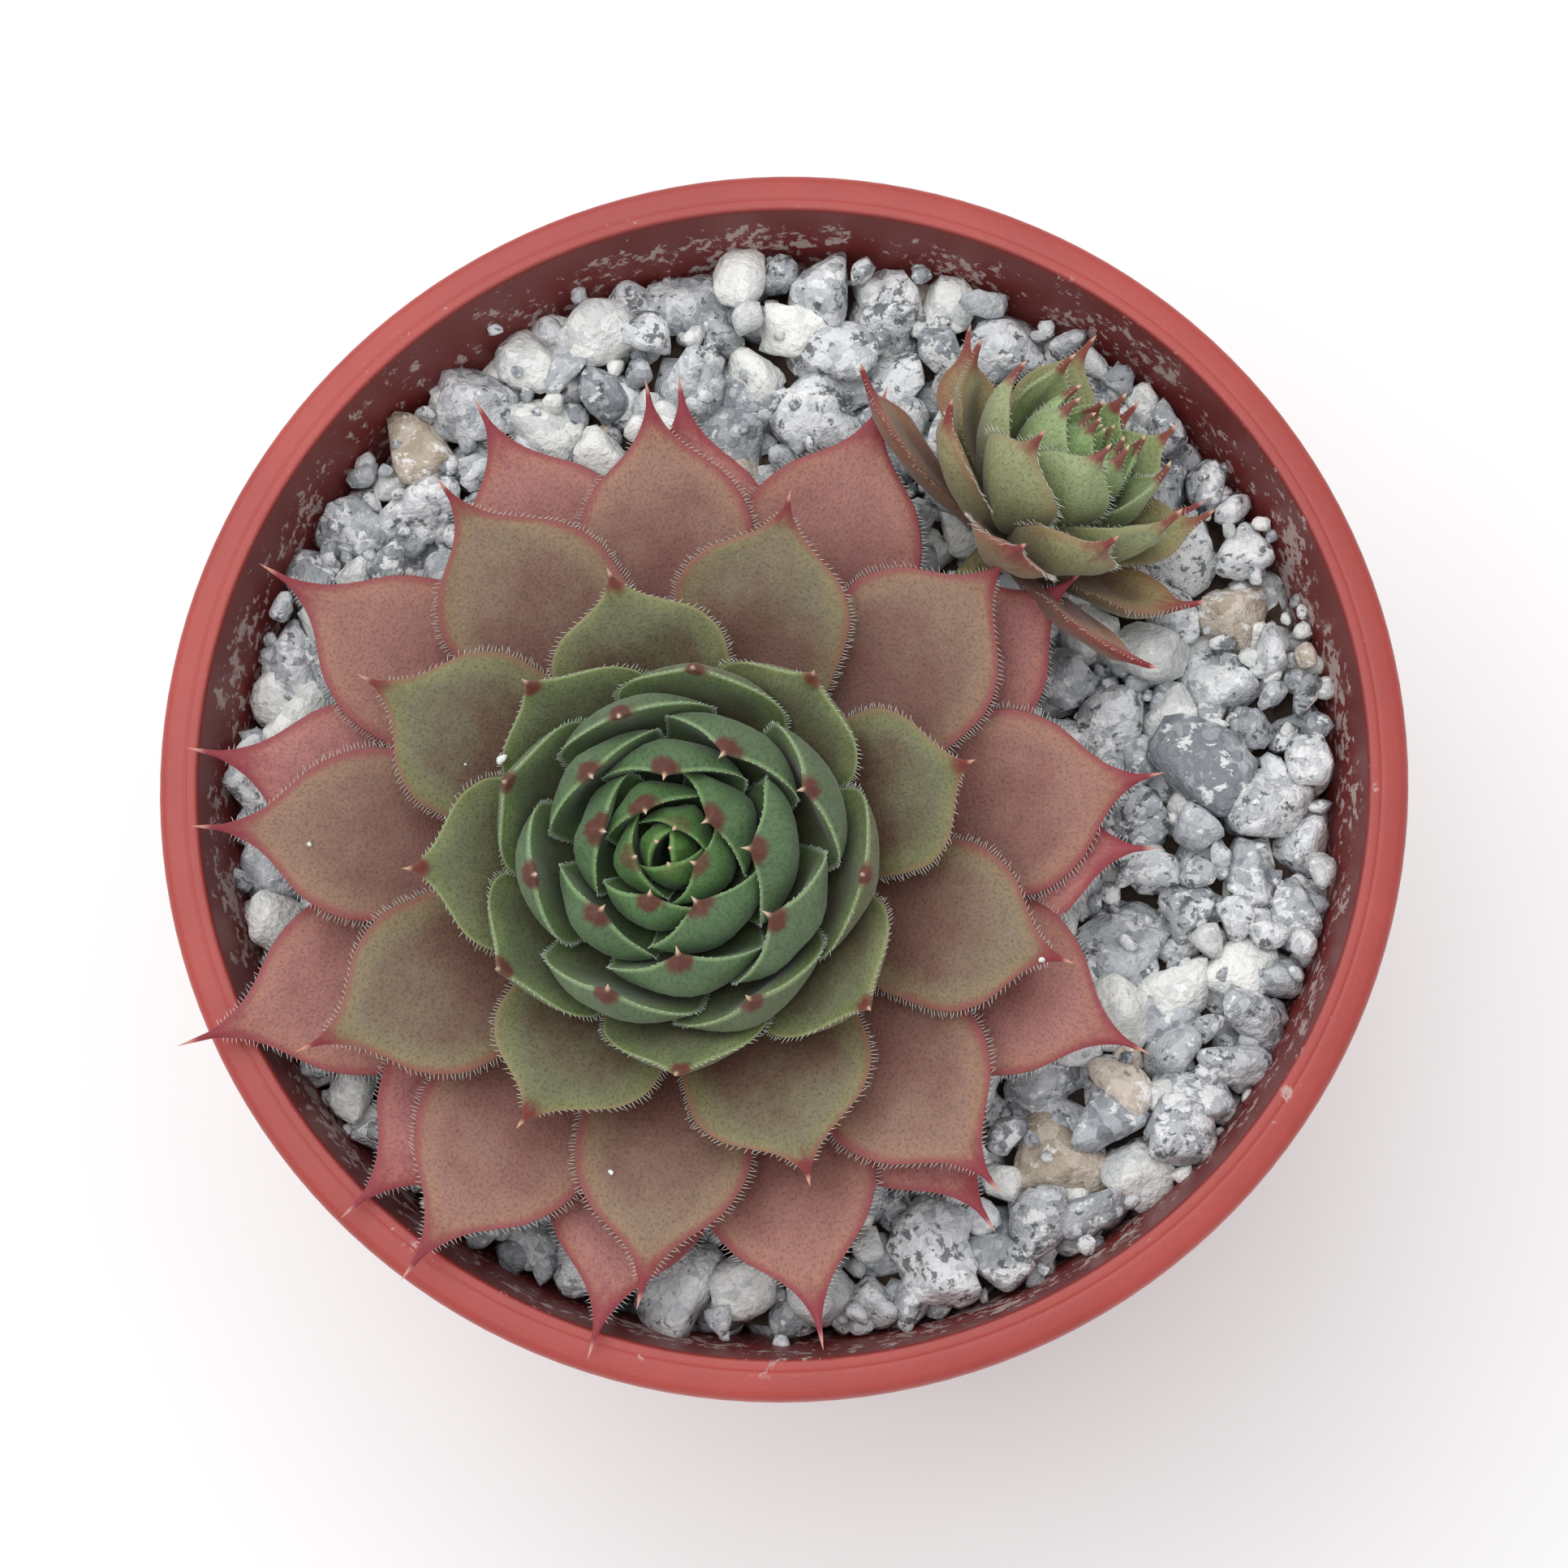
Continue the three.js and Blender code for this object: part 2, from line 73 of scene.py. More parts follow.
def linear(code: str) -> Colour:
    """Turns a colour code into linear light.

    Args:
        code: A colour such as "b4504a", as a display shows it.

    Returns:
        Red, green, blue and an opaque alpha in linear light.
    """
    shares = [int(code[i : i + 2], 16) / 255.0 for i in (0, 2, 4)]
    light = [s / 12.92 if s <= 0.04045 else ((s + 0.055) / 1.055) ** 2.4 for s in shares]
    return (light[0], light[1], light[2], 1.0)


class NodeBench:
    """Adds shader nodes to a material or a node group and joins them up."""

    def __init__(self, tree: bpy.types.NodeTree) -> None:
        """Takes the node tree that the nodes go into."""
        self.tree = tree

    def node(self, kind: str, inputs: dict | None = None, **settings: object) -> bpy.types.Node:
        """Adds one node.

        Args:
            kind: The node's type name.
            inputs: Socket name or number to a value, or to the socket that feeds it.
            settings: The node's own settings.

        Returns:
            The new node.
        """
        made = self.tree.nodes.new(kind)
        for name, value in settings.items():
            setattr(made, name, value)
        self.feed(made, inputs or {})
        return made

    def feed(self, node: bpy.types.Node, inputs: dict) -> None:
        """Sets a node's inputs or joins them up.

        Args:
            node: The node.
            inputs: Socket name or number to a value, or to the socket that feeds it.
        """
        for name, value in inputs.items():
            if isinstance(value, Socket):
                self.tree.links.new(value, node.inputs[name])
            else:
                node.inputs[name].default_value = value

    def place(self) -> Socket:
        """Reads where a point of the object is, in metres."""
        return self.node("ShaderNodeTexCoord").outputs["Object"]

    def attribute(self, name: str) -> Socket:
        """Reads a number that the mesh carries at its points."""
        made = self.node("ShaderNodeAttribute", attribute_type="GEOMETRY", attribute_name=name)
        return made.outputs["Fac"]

    def effect(self, group: bpy.types.NodeTree, inputs: dict) -> bpy.types.Node:
        """Places a shared effect with its own inputs."""
        return self.node("ShaderNodeGroup", inputs, node_tree=group)

    def calc(self, kind: str, first: Feed, second: Feed = 0.0, third: Feed = 0.0) -> Socket:
        """Adds a Math node of the kind given and returns its result."""
        made = self.node("ShaderNodeMath", {0: first, 1: second, 2: third}, operation=kind)
        return made.outputs[0]

    def ease(
        self, value: Feed, low: Feed, high: Feed, start: float = 0.0, end: float = 1.0
    ) -> Socket:
        """Eases from one number to another.

        Args:
            value: What the result follows.
            low: The value at which the result is still at its start.
            high: The value at which it has reached its end, which may be below low.
            start: The result at low.
            end: The result at high.

        Returns:
            The eased number.
        """
        made = self.node(
            "ShaderNodeMapRange",
            {"Value": value, "From Min": low, "From Max": high, "To Min": start, "To Max": end},
            interpolation_type="SMOOTHSTEP",
        )
        return made.outputs["Result"]

    def mix(
        self, share: Feed, first: Socket | Colour, second: Socket | Colour, blend: str = "MIX"
    ) -> Socket:
        """Mixes two colours.

        Args:
            share: How much of the second colour shows, from 0 to 1.
            first: The colour underneath.
            second: The colour on top.
            blend: The blend mode.

        Returns:
            The mixed colour.
        """
        made = self.node(
            "ShaderNodeMix", {0: share, 6: first, 7: second}, data_type="RGBA", blend_type=blend
        )
        return made.outputs[2]

    def shade(self, colour: Socket, amount: Socket) -> Socket:
        """Multiplies a colour by an amount that varies over the surface."""
        grey = self.node("ShaderNodeCombineColor", {0: amount, 1: amount, 2: amount}).outputs[0]
        return self.mix(1.0, colour, grey, "MULTIPLY")

    def ramp(self, value: Socket, stops: Stops) -> Socket:
        """Looks a colour up on a ramp.

        Args:
            value: Where on the ramp, from 0 to 1.
            stops: Places on the ramp with their colour codes.

        Returns:
            The colour there.
        """
        made = self.node("ShaderNodeValToRGB", {"Fac": value})
        steps = made.color_ramp.elements
        while len(steps) < len(stops):
            steps.new(0.5)
        for step, (place, code) in zip(steps, stops):
            step.position = place
            step.color = linear(code)
        return made.outputs["Color"]

    def noise(
        self, place: Socket, scale: Feed, detail: float = 2.0, rough: float = 0.5, warp: float = 0.0
    ) -> Socket:
        """Adds a noise texture.

        Args:
            place: The coordinates it follows.
            scale: How many of its lumps fit in one unit of them.
            detail: How many finer layers it has.
            rough: How strong the finer layers are.
            warp: How far it is distorted.

        Returns:
            The noise's value.
        """
        inputs = {"Scale": scale, "Detail": detail, "Roughness": rough, "Distortion": warp}
        return self.node("ShaderNodeTexNoise", {"Vector": place, **inputs}).outputs["Fac"]

    def stretch(self, place: Socket, scale: tuple[float, float, float]) -> Socket:
        """Scales a pattern's coordinates by a different amount along each axis."""
        return self.node("ShaderNodeMapping", {"Vector": place, "Scale": scale}).outputs["Vector"]

    def bump(self, height: Socket, distance: float) -> Socket:
        """Turns a height into a normal, with the distance in metres."""
        inputs = {"Height": height, "Distance": distance, "Strength": 1.0}
        return self.node("ShaderNodeBump", inputs).outputs["Normal"]


def new_group(name: str, inputs: dict[str, float], outputs: tuple[str, ...]) -> bpy.types.NodeTree:
    """Starts a shader node group.

    Args:
        name: The group's name.
        inputs: Input name to its default number; "Vector" is a vector and has none.
        outputs: The names of its outputs, which are all numbers.

    Returns:
        The group, with its interface made and nothing inside.
    """
    group = bpy.data.node_groups.new(name, "ShaderNodeTree")
    group.interface.new_socket("Vector", in_out="INPUT", socket_type="NodeSocketVector")
    for label, value in inputs.items():
        made = group.interface.new_socket(label, in_out="INPUT", socket_type="NodeSocketFloat")
        made.default_value = value
    for label in outputs:
        group.interface.new_socket(label, in_out="OUTPUT", socket_type="NodeSocketFloat")
    return group


class SharedEffects:
    """The effects that several finishes use, each built once as a shader node group."""

    def __init__(self) -> None:
        """Builds the groups."""
        self.grain = self._grain()
        self.flecks = self._flecks()

    @staticmethod
    def _grain() -> bpy.types.NodeTree:
        """Makes fine unevenness at two sizes.

        Returns:
            A group that puts out a tone from 0 to 1 and a height for a bump.
        """
        group = new_group("fine grain", {"Coarse": 400.0, "Fine": 2500.0}, ("Tone", "Height"))
        bench = NodeBench(group)
        source = bench.node("NodeGroupInput").outputs
        coarse = bench.noise(source["Vector"], source["Coarse"], detail=3.0, rough=0.55)
        fine = bench.noise(source["Vector"], source["Fine"], detail=2.0, rough=0.6)
        tone = bench.calc("MULTIPLY_ADD", coarse, 0.6, bench.calc("MULTIPLY", fine, 0.4))
        height = bench.calc("MULTIPLY_ADD", fine, 0.5, bench.calc("MULTIPLY", coarse, 0.5))
        bench.node("NodeGroupOutput", {"Tone": tone, "Height": height})
        return group

    @staticmethod
    def _flecks() -> bpy.types.NodeTree:
        """Makes ragged small patches that come and go.

        Returns:
            A group that puts out a mask from 0 to 1.
        """
        group = new_group("ragged flecks", {"Scale": 900.0, "Amount": 0.5}, ("Mask",))
        bench = NodeBench(group)
        source = bench.node("NodeGroupInput").outputs
        spots = bench.noise(source["Vector"], source["Scale"], detail=5.0, rough=0.65, warp=0.3)
        drift_scale = bench.calc("MULTIPLY", source["Scale"], 0.18)
        drift = bench.noise(source["Vector"], drift_scale)
        level = bench.calc("MULTIPLY_ADD", drift, 0.5, spots)
        limit = bench.calc("SUBTRACT", 1.15, bench.calc("MULTIPLY", source["Amount"], 0.55))
        over = bench.calc("SUBTRACT", level, limit)
        bench.node("NodeGroupOutput", {"Mask": bench.ease(over, 0.0, 0.06)})
        return group


def new_material(name: str) -> tuple[bpy.types.Material, NodeBench, bpy.types.Node]:
    """Starts a material.

    Args:
        name: The material's name.

    Returns:
        The material, a bench on its nodes and its Principled shader.
    """
    material = bpy.data.materials.new(name)
    material.use_nodes = True
    bench = NodeBench(material.node_tree)
    shader = material.node_tree.nodes["Principled BSDF"]
    return material, bench, shader


# ------------------------------------------------------------------------------ finishes

# The numbers that every point of a leaf carries: its leaf's age, its share of the leaf's length,
# how far it is on the back, and its distances from the margin and from the point in millimetres.
LEAF_NUMBERS = ("age", "along", "under", "from_rim", "from_tip")
CLOUD_SCALE = 3.5
STREAK_SCALE = (24.0, 13.0, 1.0)
SPECKLE_SCALE = (66.0, 50.0, 1.0)


@dataclass(frozen=True)
class LeafPatterns:
    """The numbers that a leaf's points carry and the patterns that follow its skin."""

    age: Socket
    along: Socket
    under: Socket
    from_rim: Socket
    from_tip: Socket
    clouds: Socket
    streaks: Socket
    speckle: Socket

    @classmethod
    def on(cls, bench: NodeBench) -> "LeafPatterns":
        """Adds the nodes that read the numbers and make the patterns.

        Args:
            bench: The material's bench.

        Returns:
            Their sockets.
        """
        skin = bench.node("ShaderNodeUVMap", uv_map="skin").outputs["UV"]
        return cls(
            *(bench.attribute(name) for name in LEAF_NUMBERS),
            clouds=bench.noise(skin, CLOUD_SCALE, detail=3.0, rough=0.6),
            streaks=bench.noise(bench.stretch(skin, STREAK_SCALE), 1.0, detail=4.0, rough=0.65),
            speckle=bench.noise(bench.stretch(skin, SPECKLE_SCALE), 1.0, detail=2.0, rough=0.65),
        )


@dataclass(frozen=True)
class LeafFinish:
    """Velvety leaf skin. Each ramp of colours runs from the oldest leaf to the youngest."""

    name: str
    lower_face: Stops
    upper_face: Stops
    back: Stops
    margin: Stops
    point: Stops
    edge: Stops = (
        (0.0, "a8664d"), (0.3, "9a7450"), (0.42, "87884f"), (0.6, "6c8046"), (1.0, "55803a"),
    )
    needle: Stops = ((0.0, "c58f88"), (0.35, "c9917f"), (0.6, "d8b79c"), (1.0, "d8b79c"))
    tip_size: tuple[float, float] = (3.3, 0.9)
    streak_range: tuple[float, float] = (0.3, 0.7)
    roughness: tuple[float, float] = (0.44, 0.58)
    velvet: float = 0.16
    pore_depth: float = 0.07 * MM

    def make(self) -> bpy.types.Material:
        """Builds the material.

        Returns:
            The material.
        """
        material, bench, shader = new_material(self.name)
        skin = LeafPatterns.on(bench)
        colour = self._faces(bench, skin)
        colour = self._mottle_and_base_shade(bench, skin, colour)
        colour = self._rim(bench, skin, colour)
        colour = self._tip(bench, skin, colour)
        half_speckle = bench.calc("MULTIPLY", skin.speckle, 0.5)
        pores = bench.calc("MULTIPLY_ADD", skin.streaks, 0.5, half_speckle)
        bench.feed(
            shader,
            {
                "Base Color": colour,
                "Roughness": bench.ease(skin.streaks, *self.streak_range, *self.roughness),
                "Normal": bench.bump(pores, self.pore_depth),
                "Specular IOR Level": 0.35,
                "Sheen Weight": self.velvet,
                "Sheen Roughness": 0.45,
                "Subsurface Weight": 0.12,
                "Subsurface Radius": (1.0, 0.5, 0.25),
                "Subsurface Scale": 0.8 * MM,
            },
        )
        return material

    def _faces(self, bench: NodeBench, skin: LeafPatterns) -> Socket:
        """Colours the leaf: dull near its base, ripe further out, a warm edge and a paler back.

        Args:
            bench: The material's bench.
            skin: The leaf's numbers and patterns.

        Returns:
            The colour so far.
        """
        inset = bench.calc("SUBTRACT", skin.along, 0.25)
        wander = bench.calc("MULTIPLY_ADD", skin.clouds, 0.5, inset)
        fringe = bench.ease(skin.from_rim, 2.2, 0.2, end=0.22)
        ripe = bench.ease(bench.calc("ADD", wander, fringe), 0.45, 0.85)
        dull, bright = bench.ramp(skin.age, self.lower_face), bench.ramp(skin.age, self.upper_face)
        face = bench.mix(ripe, dull, bright)
        glow = bench.calc("MULTIPLY", bench.ease(skin.from_rim, 2.0, 0.2, end=0.75), skin.clouds)
        face = bench.mix(glow, face, bench.ramp(skin.age, self.edge))
        return bench.mix(skin.under, face, bench.ramp(skin.age, self.back))

    def _mottle_and_base_shade(self, bench: NodeBench, skin: LeafPatterns, colour: Socket) -> Socket:
        """Adds fine streaks and dark dots, and darkens the colour towards the base as painted
        shade.

        Args:
            bench: The material's bench.
            skin: The leaf's numbers and patterns.
            colour: The colour so far.

        Returns:
            The colour with them.
        """
        tone = bench.ease(skin.streaks, *self.streak_range, 0.9, 1.09)
        dots = bench.ease(skin.speckle, 0.46, 0.68, 1.07, 0.7)
        # Painted shade: darker towards the leaf's base, where it sits deep among the other leaves.
        depth = bench.ease(skin.along, 0.3, 0.85, 0.8, 1.06)
        amount = bench.calc("MULTIPLY", bench.calc("MULTIPLY", tone, dots), depth)
        return bench.shade(colour, amount)

    def _rim(self, bench: NodeBench, skin: LeafPatterns, colour: Socket) -> Socket:
        """Draws the narrow coloured line along the outer part of the margin.

        Args:
            bench: The material's bench.
            skin: The leaf's numbers and patterns.
            colour: The colour so far.

        Returns:
            The colour with the line.
        """
        size = bench.ease(skin.age, 0.3, 0.55, 0.6, 0.17)
        wobble = bench.calc("SUBTRACT", skin.clouds, 0.5)
        share = bench.calc("DIVIDE", skin.from_rim, size)
        run = bench.calc("MULTIPLY_ADD", wobble, 0.5, share)
        line = bench.calc("MULTIPLY", bench.ease(run, 1.2, 0.2), bench.ease(skin.along, 0.38, 0.62))
        line = bench.calc("MULTIPLY", line, 0.75)
        return bench.mix(line, colour, bench.ramp(skin.age, self.margin))

    def _tip(self, bench: NodeBench, skin: LeafPatterns, colour: Socket) -> Socket:
        """Stains the point with a ragged crimson spot and gives it its pale needle.

        Args:
            bench: The material's bench.
            skin: The leaf's numbers and patterns.
            colour: The colour so far.

        Returns:
            The colour with the spot and the needle.
        """
        size = bench.ease(skin.age, 0.05, 0.6, *self.tip_size)
        wobble = bench.calc("SUBTRACT", skin.clouds, 0.5)
        inset = bench.calc("SUBTRACT", wobble, 0.55)
        ragged = bench.calc("MULTIPLY_ADD", skin.streaks, 1.1, inset)
        run = bench.calc("ADD", ragged, bench.calc("DIVIDE", skin.from_tip, size))
        spot = bench.ease(run, 1.3, bench.ease(skin.age, 0.3, 0.6, 0.15, 0.6))
        spot = bench.calc("MULTIPLY", spot, bench.ease(skin.age, 1.0, 0.9))
        spot = bench.calc("MULTIPLY", spot, 0.88)
        colour = bench.mix(spot, colour, bench.ramp(skin.age, self.point))
        needle = bench.ease(skin.along, 0.955, 0.98)
        return bench.mix(needle, colour, bench.ramp(skin.age, self.needle))


@dataclass(frozen=True)
class HairFinish:
    """The fine hairs along a leaf's margin: glassy, pink on old leaves and whiter on young ones."""

    name: str
    colours: Stops

    def make(self) -> bpy.types.Material:
        """Builds the material.

        Returns:
            The material.
        """
        material, bench, shader = new_material(self.name)
        colour = bench.ramp(bench.attribute("age"), self.colours)
        root = bench.ease(bench.attribute("along"), 0.0, 0.6, 0.75, 1.05)
        bench.feed(
            shader,
            {
                "Base Color": bench.shade(colour, root),
                "Roughness": 0.35,
                "Subsurface Weight": 0.3,
                "Subsurface Scale": 0.3 * MM,
            },
        )
        return material


@dataclass(frozen=True)
class RockFinish:
    """Crushed stone: mineral grains in two colours, dark specks, near-white flecks that are partly
    pale crystals and partly painted glints, pits and dust.
    """

    name: str
    light: str
    dark: str
    speck: str
    speck_share: float
    grain_scale: float
    roughness: float = 0.62
    coarse_scale: float = 420.0
    fine_scale: float = 2600.0
    speck_scale: float = 1500.0
    # Near-white flecks: partly pale crystals, partly painted glints that stand in for sparkling
    # highlights.
    glint: str = "fbfbfa"
    glint_share: float = 0.6
    glint_scale: float = 1150.0
    glint_stretch: tuple[float, float, float] = (1.0, 1.3, 0.9)
    relief: float = 0.5 * MM

    def make(self, effects: SharedEffects) -> bpy.types.Material:
        """Builds the material.

        Args:
            effects: The shared node groups.

        Returns:
            The material.
        """
        material, bench, shader = new_material(self.name)
        place = bench.place()
        cells = bench.node("ShaderNodeTexVoronoi", {"Vector": place, "Scale": self.grain_scale})
        mineral = bench.node("ShaderNodeSeparateColor", {0: cells.outputs["Color"]}).outputs[0]
        grain = bench.effect(
            effects.grain, {"Vector": place, "Coarse": self.coarse_scale, "Fine": self.fine_scale}
        )
        tone = bench.calc("MULTIPLY", grain.outputs["Tone"], 0.9)
        patch = bench.calc("MULTIPLY_ADD", mineral, 0.45, tone)
        inset = bench.calc("SUBTRACT", patch, 0.45)
        drift = bench.calc("MULTIPLY_ADD", bench.attribute("tint"), 0.5, inset)
        colour = bench.mix(bench.ease(drift, 0.1, 0.85), linear(self.dark), linear(self.light))

        specks = bench.effect(
            effects.flecks,
            {"Vector": place, "Scale": self.speck_scale, "Amount": self.speck_share},
        ).outputs["Mask"]
        colour = bench.mix(bench.calc("MULTIPLY", specks, 0.8), colour, linear(self.speck))
        # Near-white flecks: partly pale crystals, partly painted glints that stand in for sparkling
        # highlights.
        askew = bench.stretch(place, self.glint_stretch)
        glints = bench.effect(
            effects.flecks,
            {"Vector": askew, "Scale": self.glint_scale, "Amount": self.glint_share},
        ).outputs["Mask"]
        colour = bench.mix(bench.calc("MULTIPLY", glints, 0.75), colour, linear(self.glint))

        facets = bench.calc("MULTIPLY", mineral, 0.25)
        height = bench.calc("MULTIPLY_ADD", grain.outputs["Height"], 0.8, facets)
        smooth, rough = self.roughness - 0.15, self.roughness + 0.12
        bench.feed(
            shader,
            {
                "Base Color": colour,
                "Roughness": bench.ease(mineral, 0.2, 0.9, smooth, rough),
                "Normal": bench.bump(height, self.relief),
                "Specular IOR Level": 0.45,
            },
        )
        return material


@dataclass(frozen=True)
class PotFinish:
    """Terracotta-red plastic: satin and faintly mottled, scuffed at the lip, limy inside, with
    painted shade on its inner wall.
    """

    rim_height: float
    name: str = "terracotta red plastic"
    body: str = "b0443d"
    deep: str = "a03a34"
    # Painted shade: the inner wall's deep maroon stands in for the shade down inside the pot.
    inside: str = "672a29"
    lime: str = "c9b9b4"
    lip_radius: float = LIP_RADIUS * MM
    ridge_inset: float = 0.55 * MM
    scuff_share: float = 0.4
    lime_shares: tuple[float, float] = (0.42, 0.66)
    lime_depths: tuple[float, float] = (0.1 * MM, 2.5 * MM)
    cloud_scale: float = 90.0
    coarse_scale: float = 700.0
    fine_scale: float = 5000.0
    lime_scale: float = 1500.0
    scuff_scale: float = 1200.0
    relief: float = 0.03 * MM

    def make(self, effects: SharedEffects) -> bpy.types.Material:
        """Builds the material.

        Args:
            effects: The shared node groups.

        Returns:
            The material.
        """
        material, bench, shader = new_material(self.name)
        place = bench.place()
        parts = bench.node("ShaderNodeSeparateXYZ", {0: place}).outputs
        squares = [bench.calc("POWER", parts[axis], 2.0) for axis in ("X", "Y")]
        radius = bench.calc("SQRT", bench.calc("ADD", *squares))
        drop = bench.calc("SUBTRACT", self.rim_height, parts["Z"])
        wall = bench.calc("MULTIPLY_ADD", drop, WALL_TAPER, radius)
        inside = bench.ease(bench.calc("SUBTRACT", wall, self.lip_radius), 0.25 * MM, 0.0)

        clouds = bench.noise(place, self.cloud_scale, detail=4.0, rough=0.6)
        grain = bench.effect(
            effects.grain, {"Vector": place, "Coarse": self.coarse_scale, "Fine": self.fine_scale}
        )
        colour = bench.mix(bench.ease(clouds, 0.3, 0.75), linear(self.deep), linear(self.body))
        mottle = bench.ease(grain.outputs["Tone"], 0.35, 0.7, end=0.25)
        colour = bench.mix(mottle, colour, linear(self.deep))
        # Painted shade: the inner wall is darkened to deep maroon.
        colour = bench.mix(bench.calc("MULTIPLY", inside, 0.9), colour, linear(self.inside))

        lime_share = bench.ease(drop, *self.lime_depths, *self.lime_shares)
        lime = bench.effect(
            effects.flecks, {"Vector": place, "Scale": self.lime_scale, "Amount": lime_share}
        ).outputs["Mask"]
        lime = bench.calc("MULTIPLY", lime, inside)
        colour = bench.mix(bench.calc("MULTIPLY", lime, 0.75), colour, linear(self.lime))

        from_ridge = bench.calc("SUBTRACT", radius, self.lip_radius + self.ridge_inset)
        on_ridge = bench.ease(bench.calc("ABSOLUTE", from_ridge), 0.6 * MM, 0.1 * MM)
        high = bench.ease(drop, 0.8 * MM, 0.3 * MM)
        scuff = bench.effect(
            effects.flecks,
            {"Vector": place, "Scale": self.scuff_scale, "Amount": self.scuff_share},
        ).outputs["Mask"]
        scuff = bench.calc("MULTIPLY", scuff, bench.calc("MULTIPLY", on_ridge, high))
        colour = bench.mix(bench.calc("MULTIPLY", scuff, 0.6), colour, linear(self.lime))

        dusty = bench.calc("MAXIMUM", lime, scuff)
        bench.feed(
            shader,
            {
                "Base Color": colour,
                "Roughness": bench.ease(dusty, 0.0, 1.0, 0.42, 0.75),
                "Normal": bench.bump(grain.outputs["Height"], self.relief),
                "Specular IOR Level": 0.5,
            },
        )
        return material


@dataclass(frozen=True)
class EarthFinish:
    """Something rough and dull with two mottled colours, such as potting mix or an old stem."""

    name: str
    first: str
    second: str
    scale: float
    relief: float
    roughness: float = 0.9
    finer: float = 5.0

    def make(self, effects: SharedEffects) -> bpy.types.Material:
        """Builds the material.

        Args:
            effects: The shared node groups.

        Returns:
            The material.
        """
        material, bench, shader = new_material(self.name)
        grain = bench.effect(
            effects.grain,
            {"Vector": bench.place(), "Coarse": self.scale, "Fine": self.finer * self.scale},
        )
        shares = bench.ease(grain.outputs["Tone"], 0.35, 0.65)
        bench.feed(
            shader,
            {
                "Base Color": bench.mix(shares, linear(self.first), linear(self.second)),
                "Normal": bench.bump(grain.outputs["Height"], self.relief),
                "Roughness": self.roughness,
            },
        )
        return material


# ------------------------------------------------------------------------------ piece making


def mesh_of(shape: bmesh.types.BMesh, name: str) -> bpy.types.Mesh:
    """Turns a bmesh into a mesh and frees it.

    Args:
        shape: The bmesh.
        name: The mesh's name.

    Returns:
        The mesh.
    """
    mesh = bpy.data.meshes.new(name)
    shape.to_mesh(mesh)
    shape.free()
    return mesh


def set_out(name: str, data: bpy.types.ID) -> bpy.types.Object:
    """Puts a new object with the data given in the scene.

    Args:
        name: The object's name.
        data: Its mesh, lamp or lens.

    Returns:
        The object.
    """
    made = bpy.data.objects.new(name, data)
    bpy.context.scene.collection.objects.link(made)
    return made


def add_piece(
    name: str,
    shape: bmesh.types.BMesh,
    finishes: list[bpy.types.Material],
    stands_for: list[str],
) -> bpy.types.Object:
    """Turns a bmesh into a finished piece of the object.

    Args:
        name: The piece's name.
        shape: Its mesh; it is freed here.
        finishes: Its materials in the order that its faces number them.
        stands_for: The CAD nodes that it replaces.

    Returns:
        The new object.
    """
    mesh = mesh_of(shape, name)
    for finish in finishes:
        mesh.materials.append(finish)
    mesh.polygons.foreach_set("use_smooth", [True] * len(mesh.polygons))
    piece = set_out(name, mesh)
    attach(piece, "root")
    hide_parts(*stands_for)
    LOG.info("%s: %d faces for %s", name, len(mesh.polygons), ", ".join(stands_for))
    return piece


# ------------------------------------------------------------------------------ leaves


class Habit(Enum):
    """How a leaf sits in its rosette."""

    OPEN = "open"
    BUD = "bud"


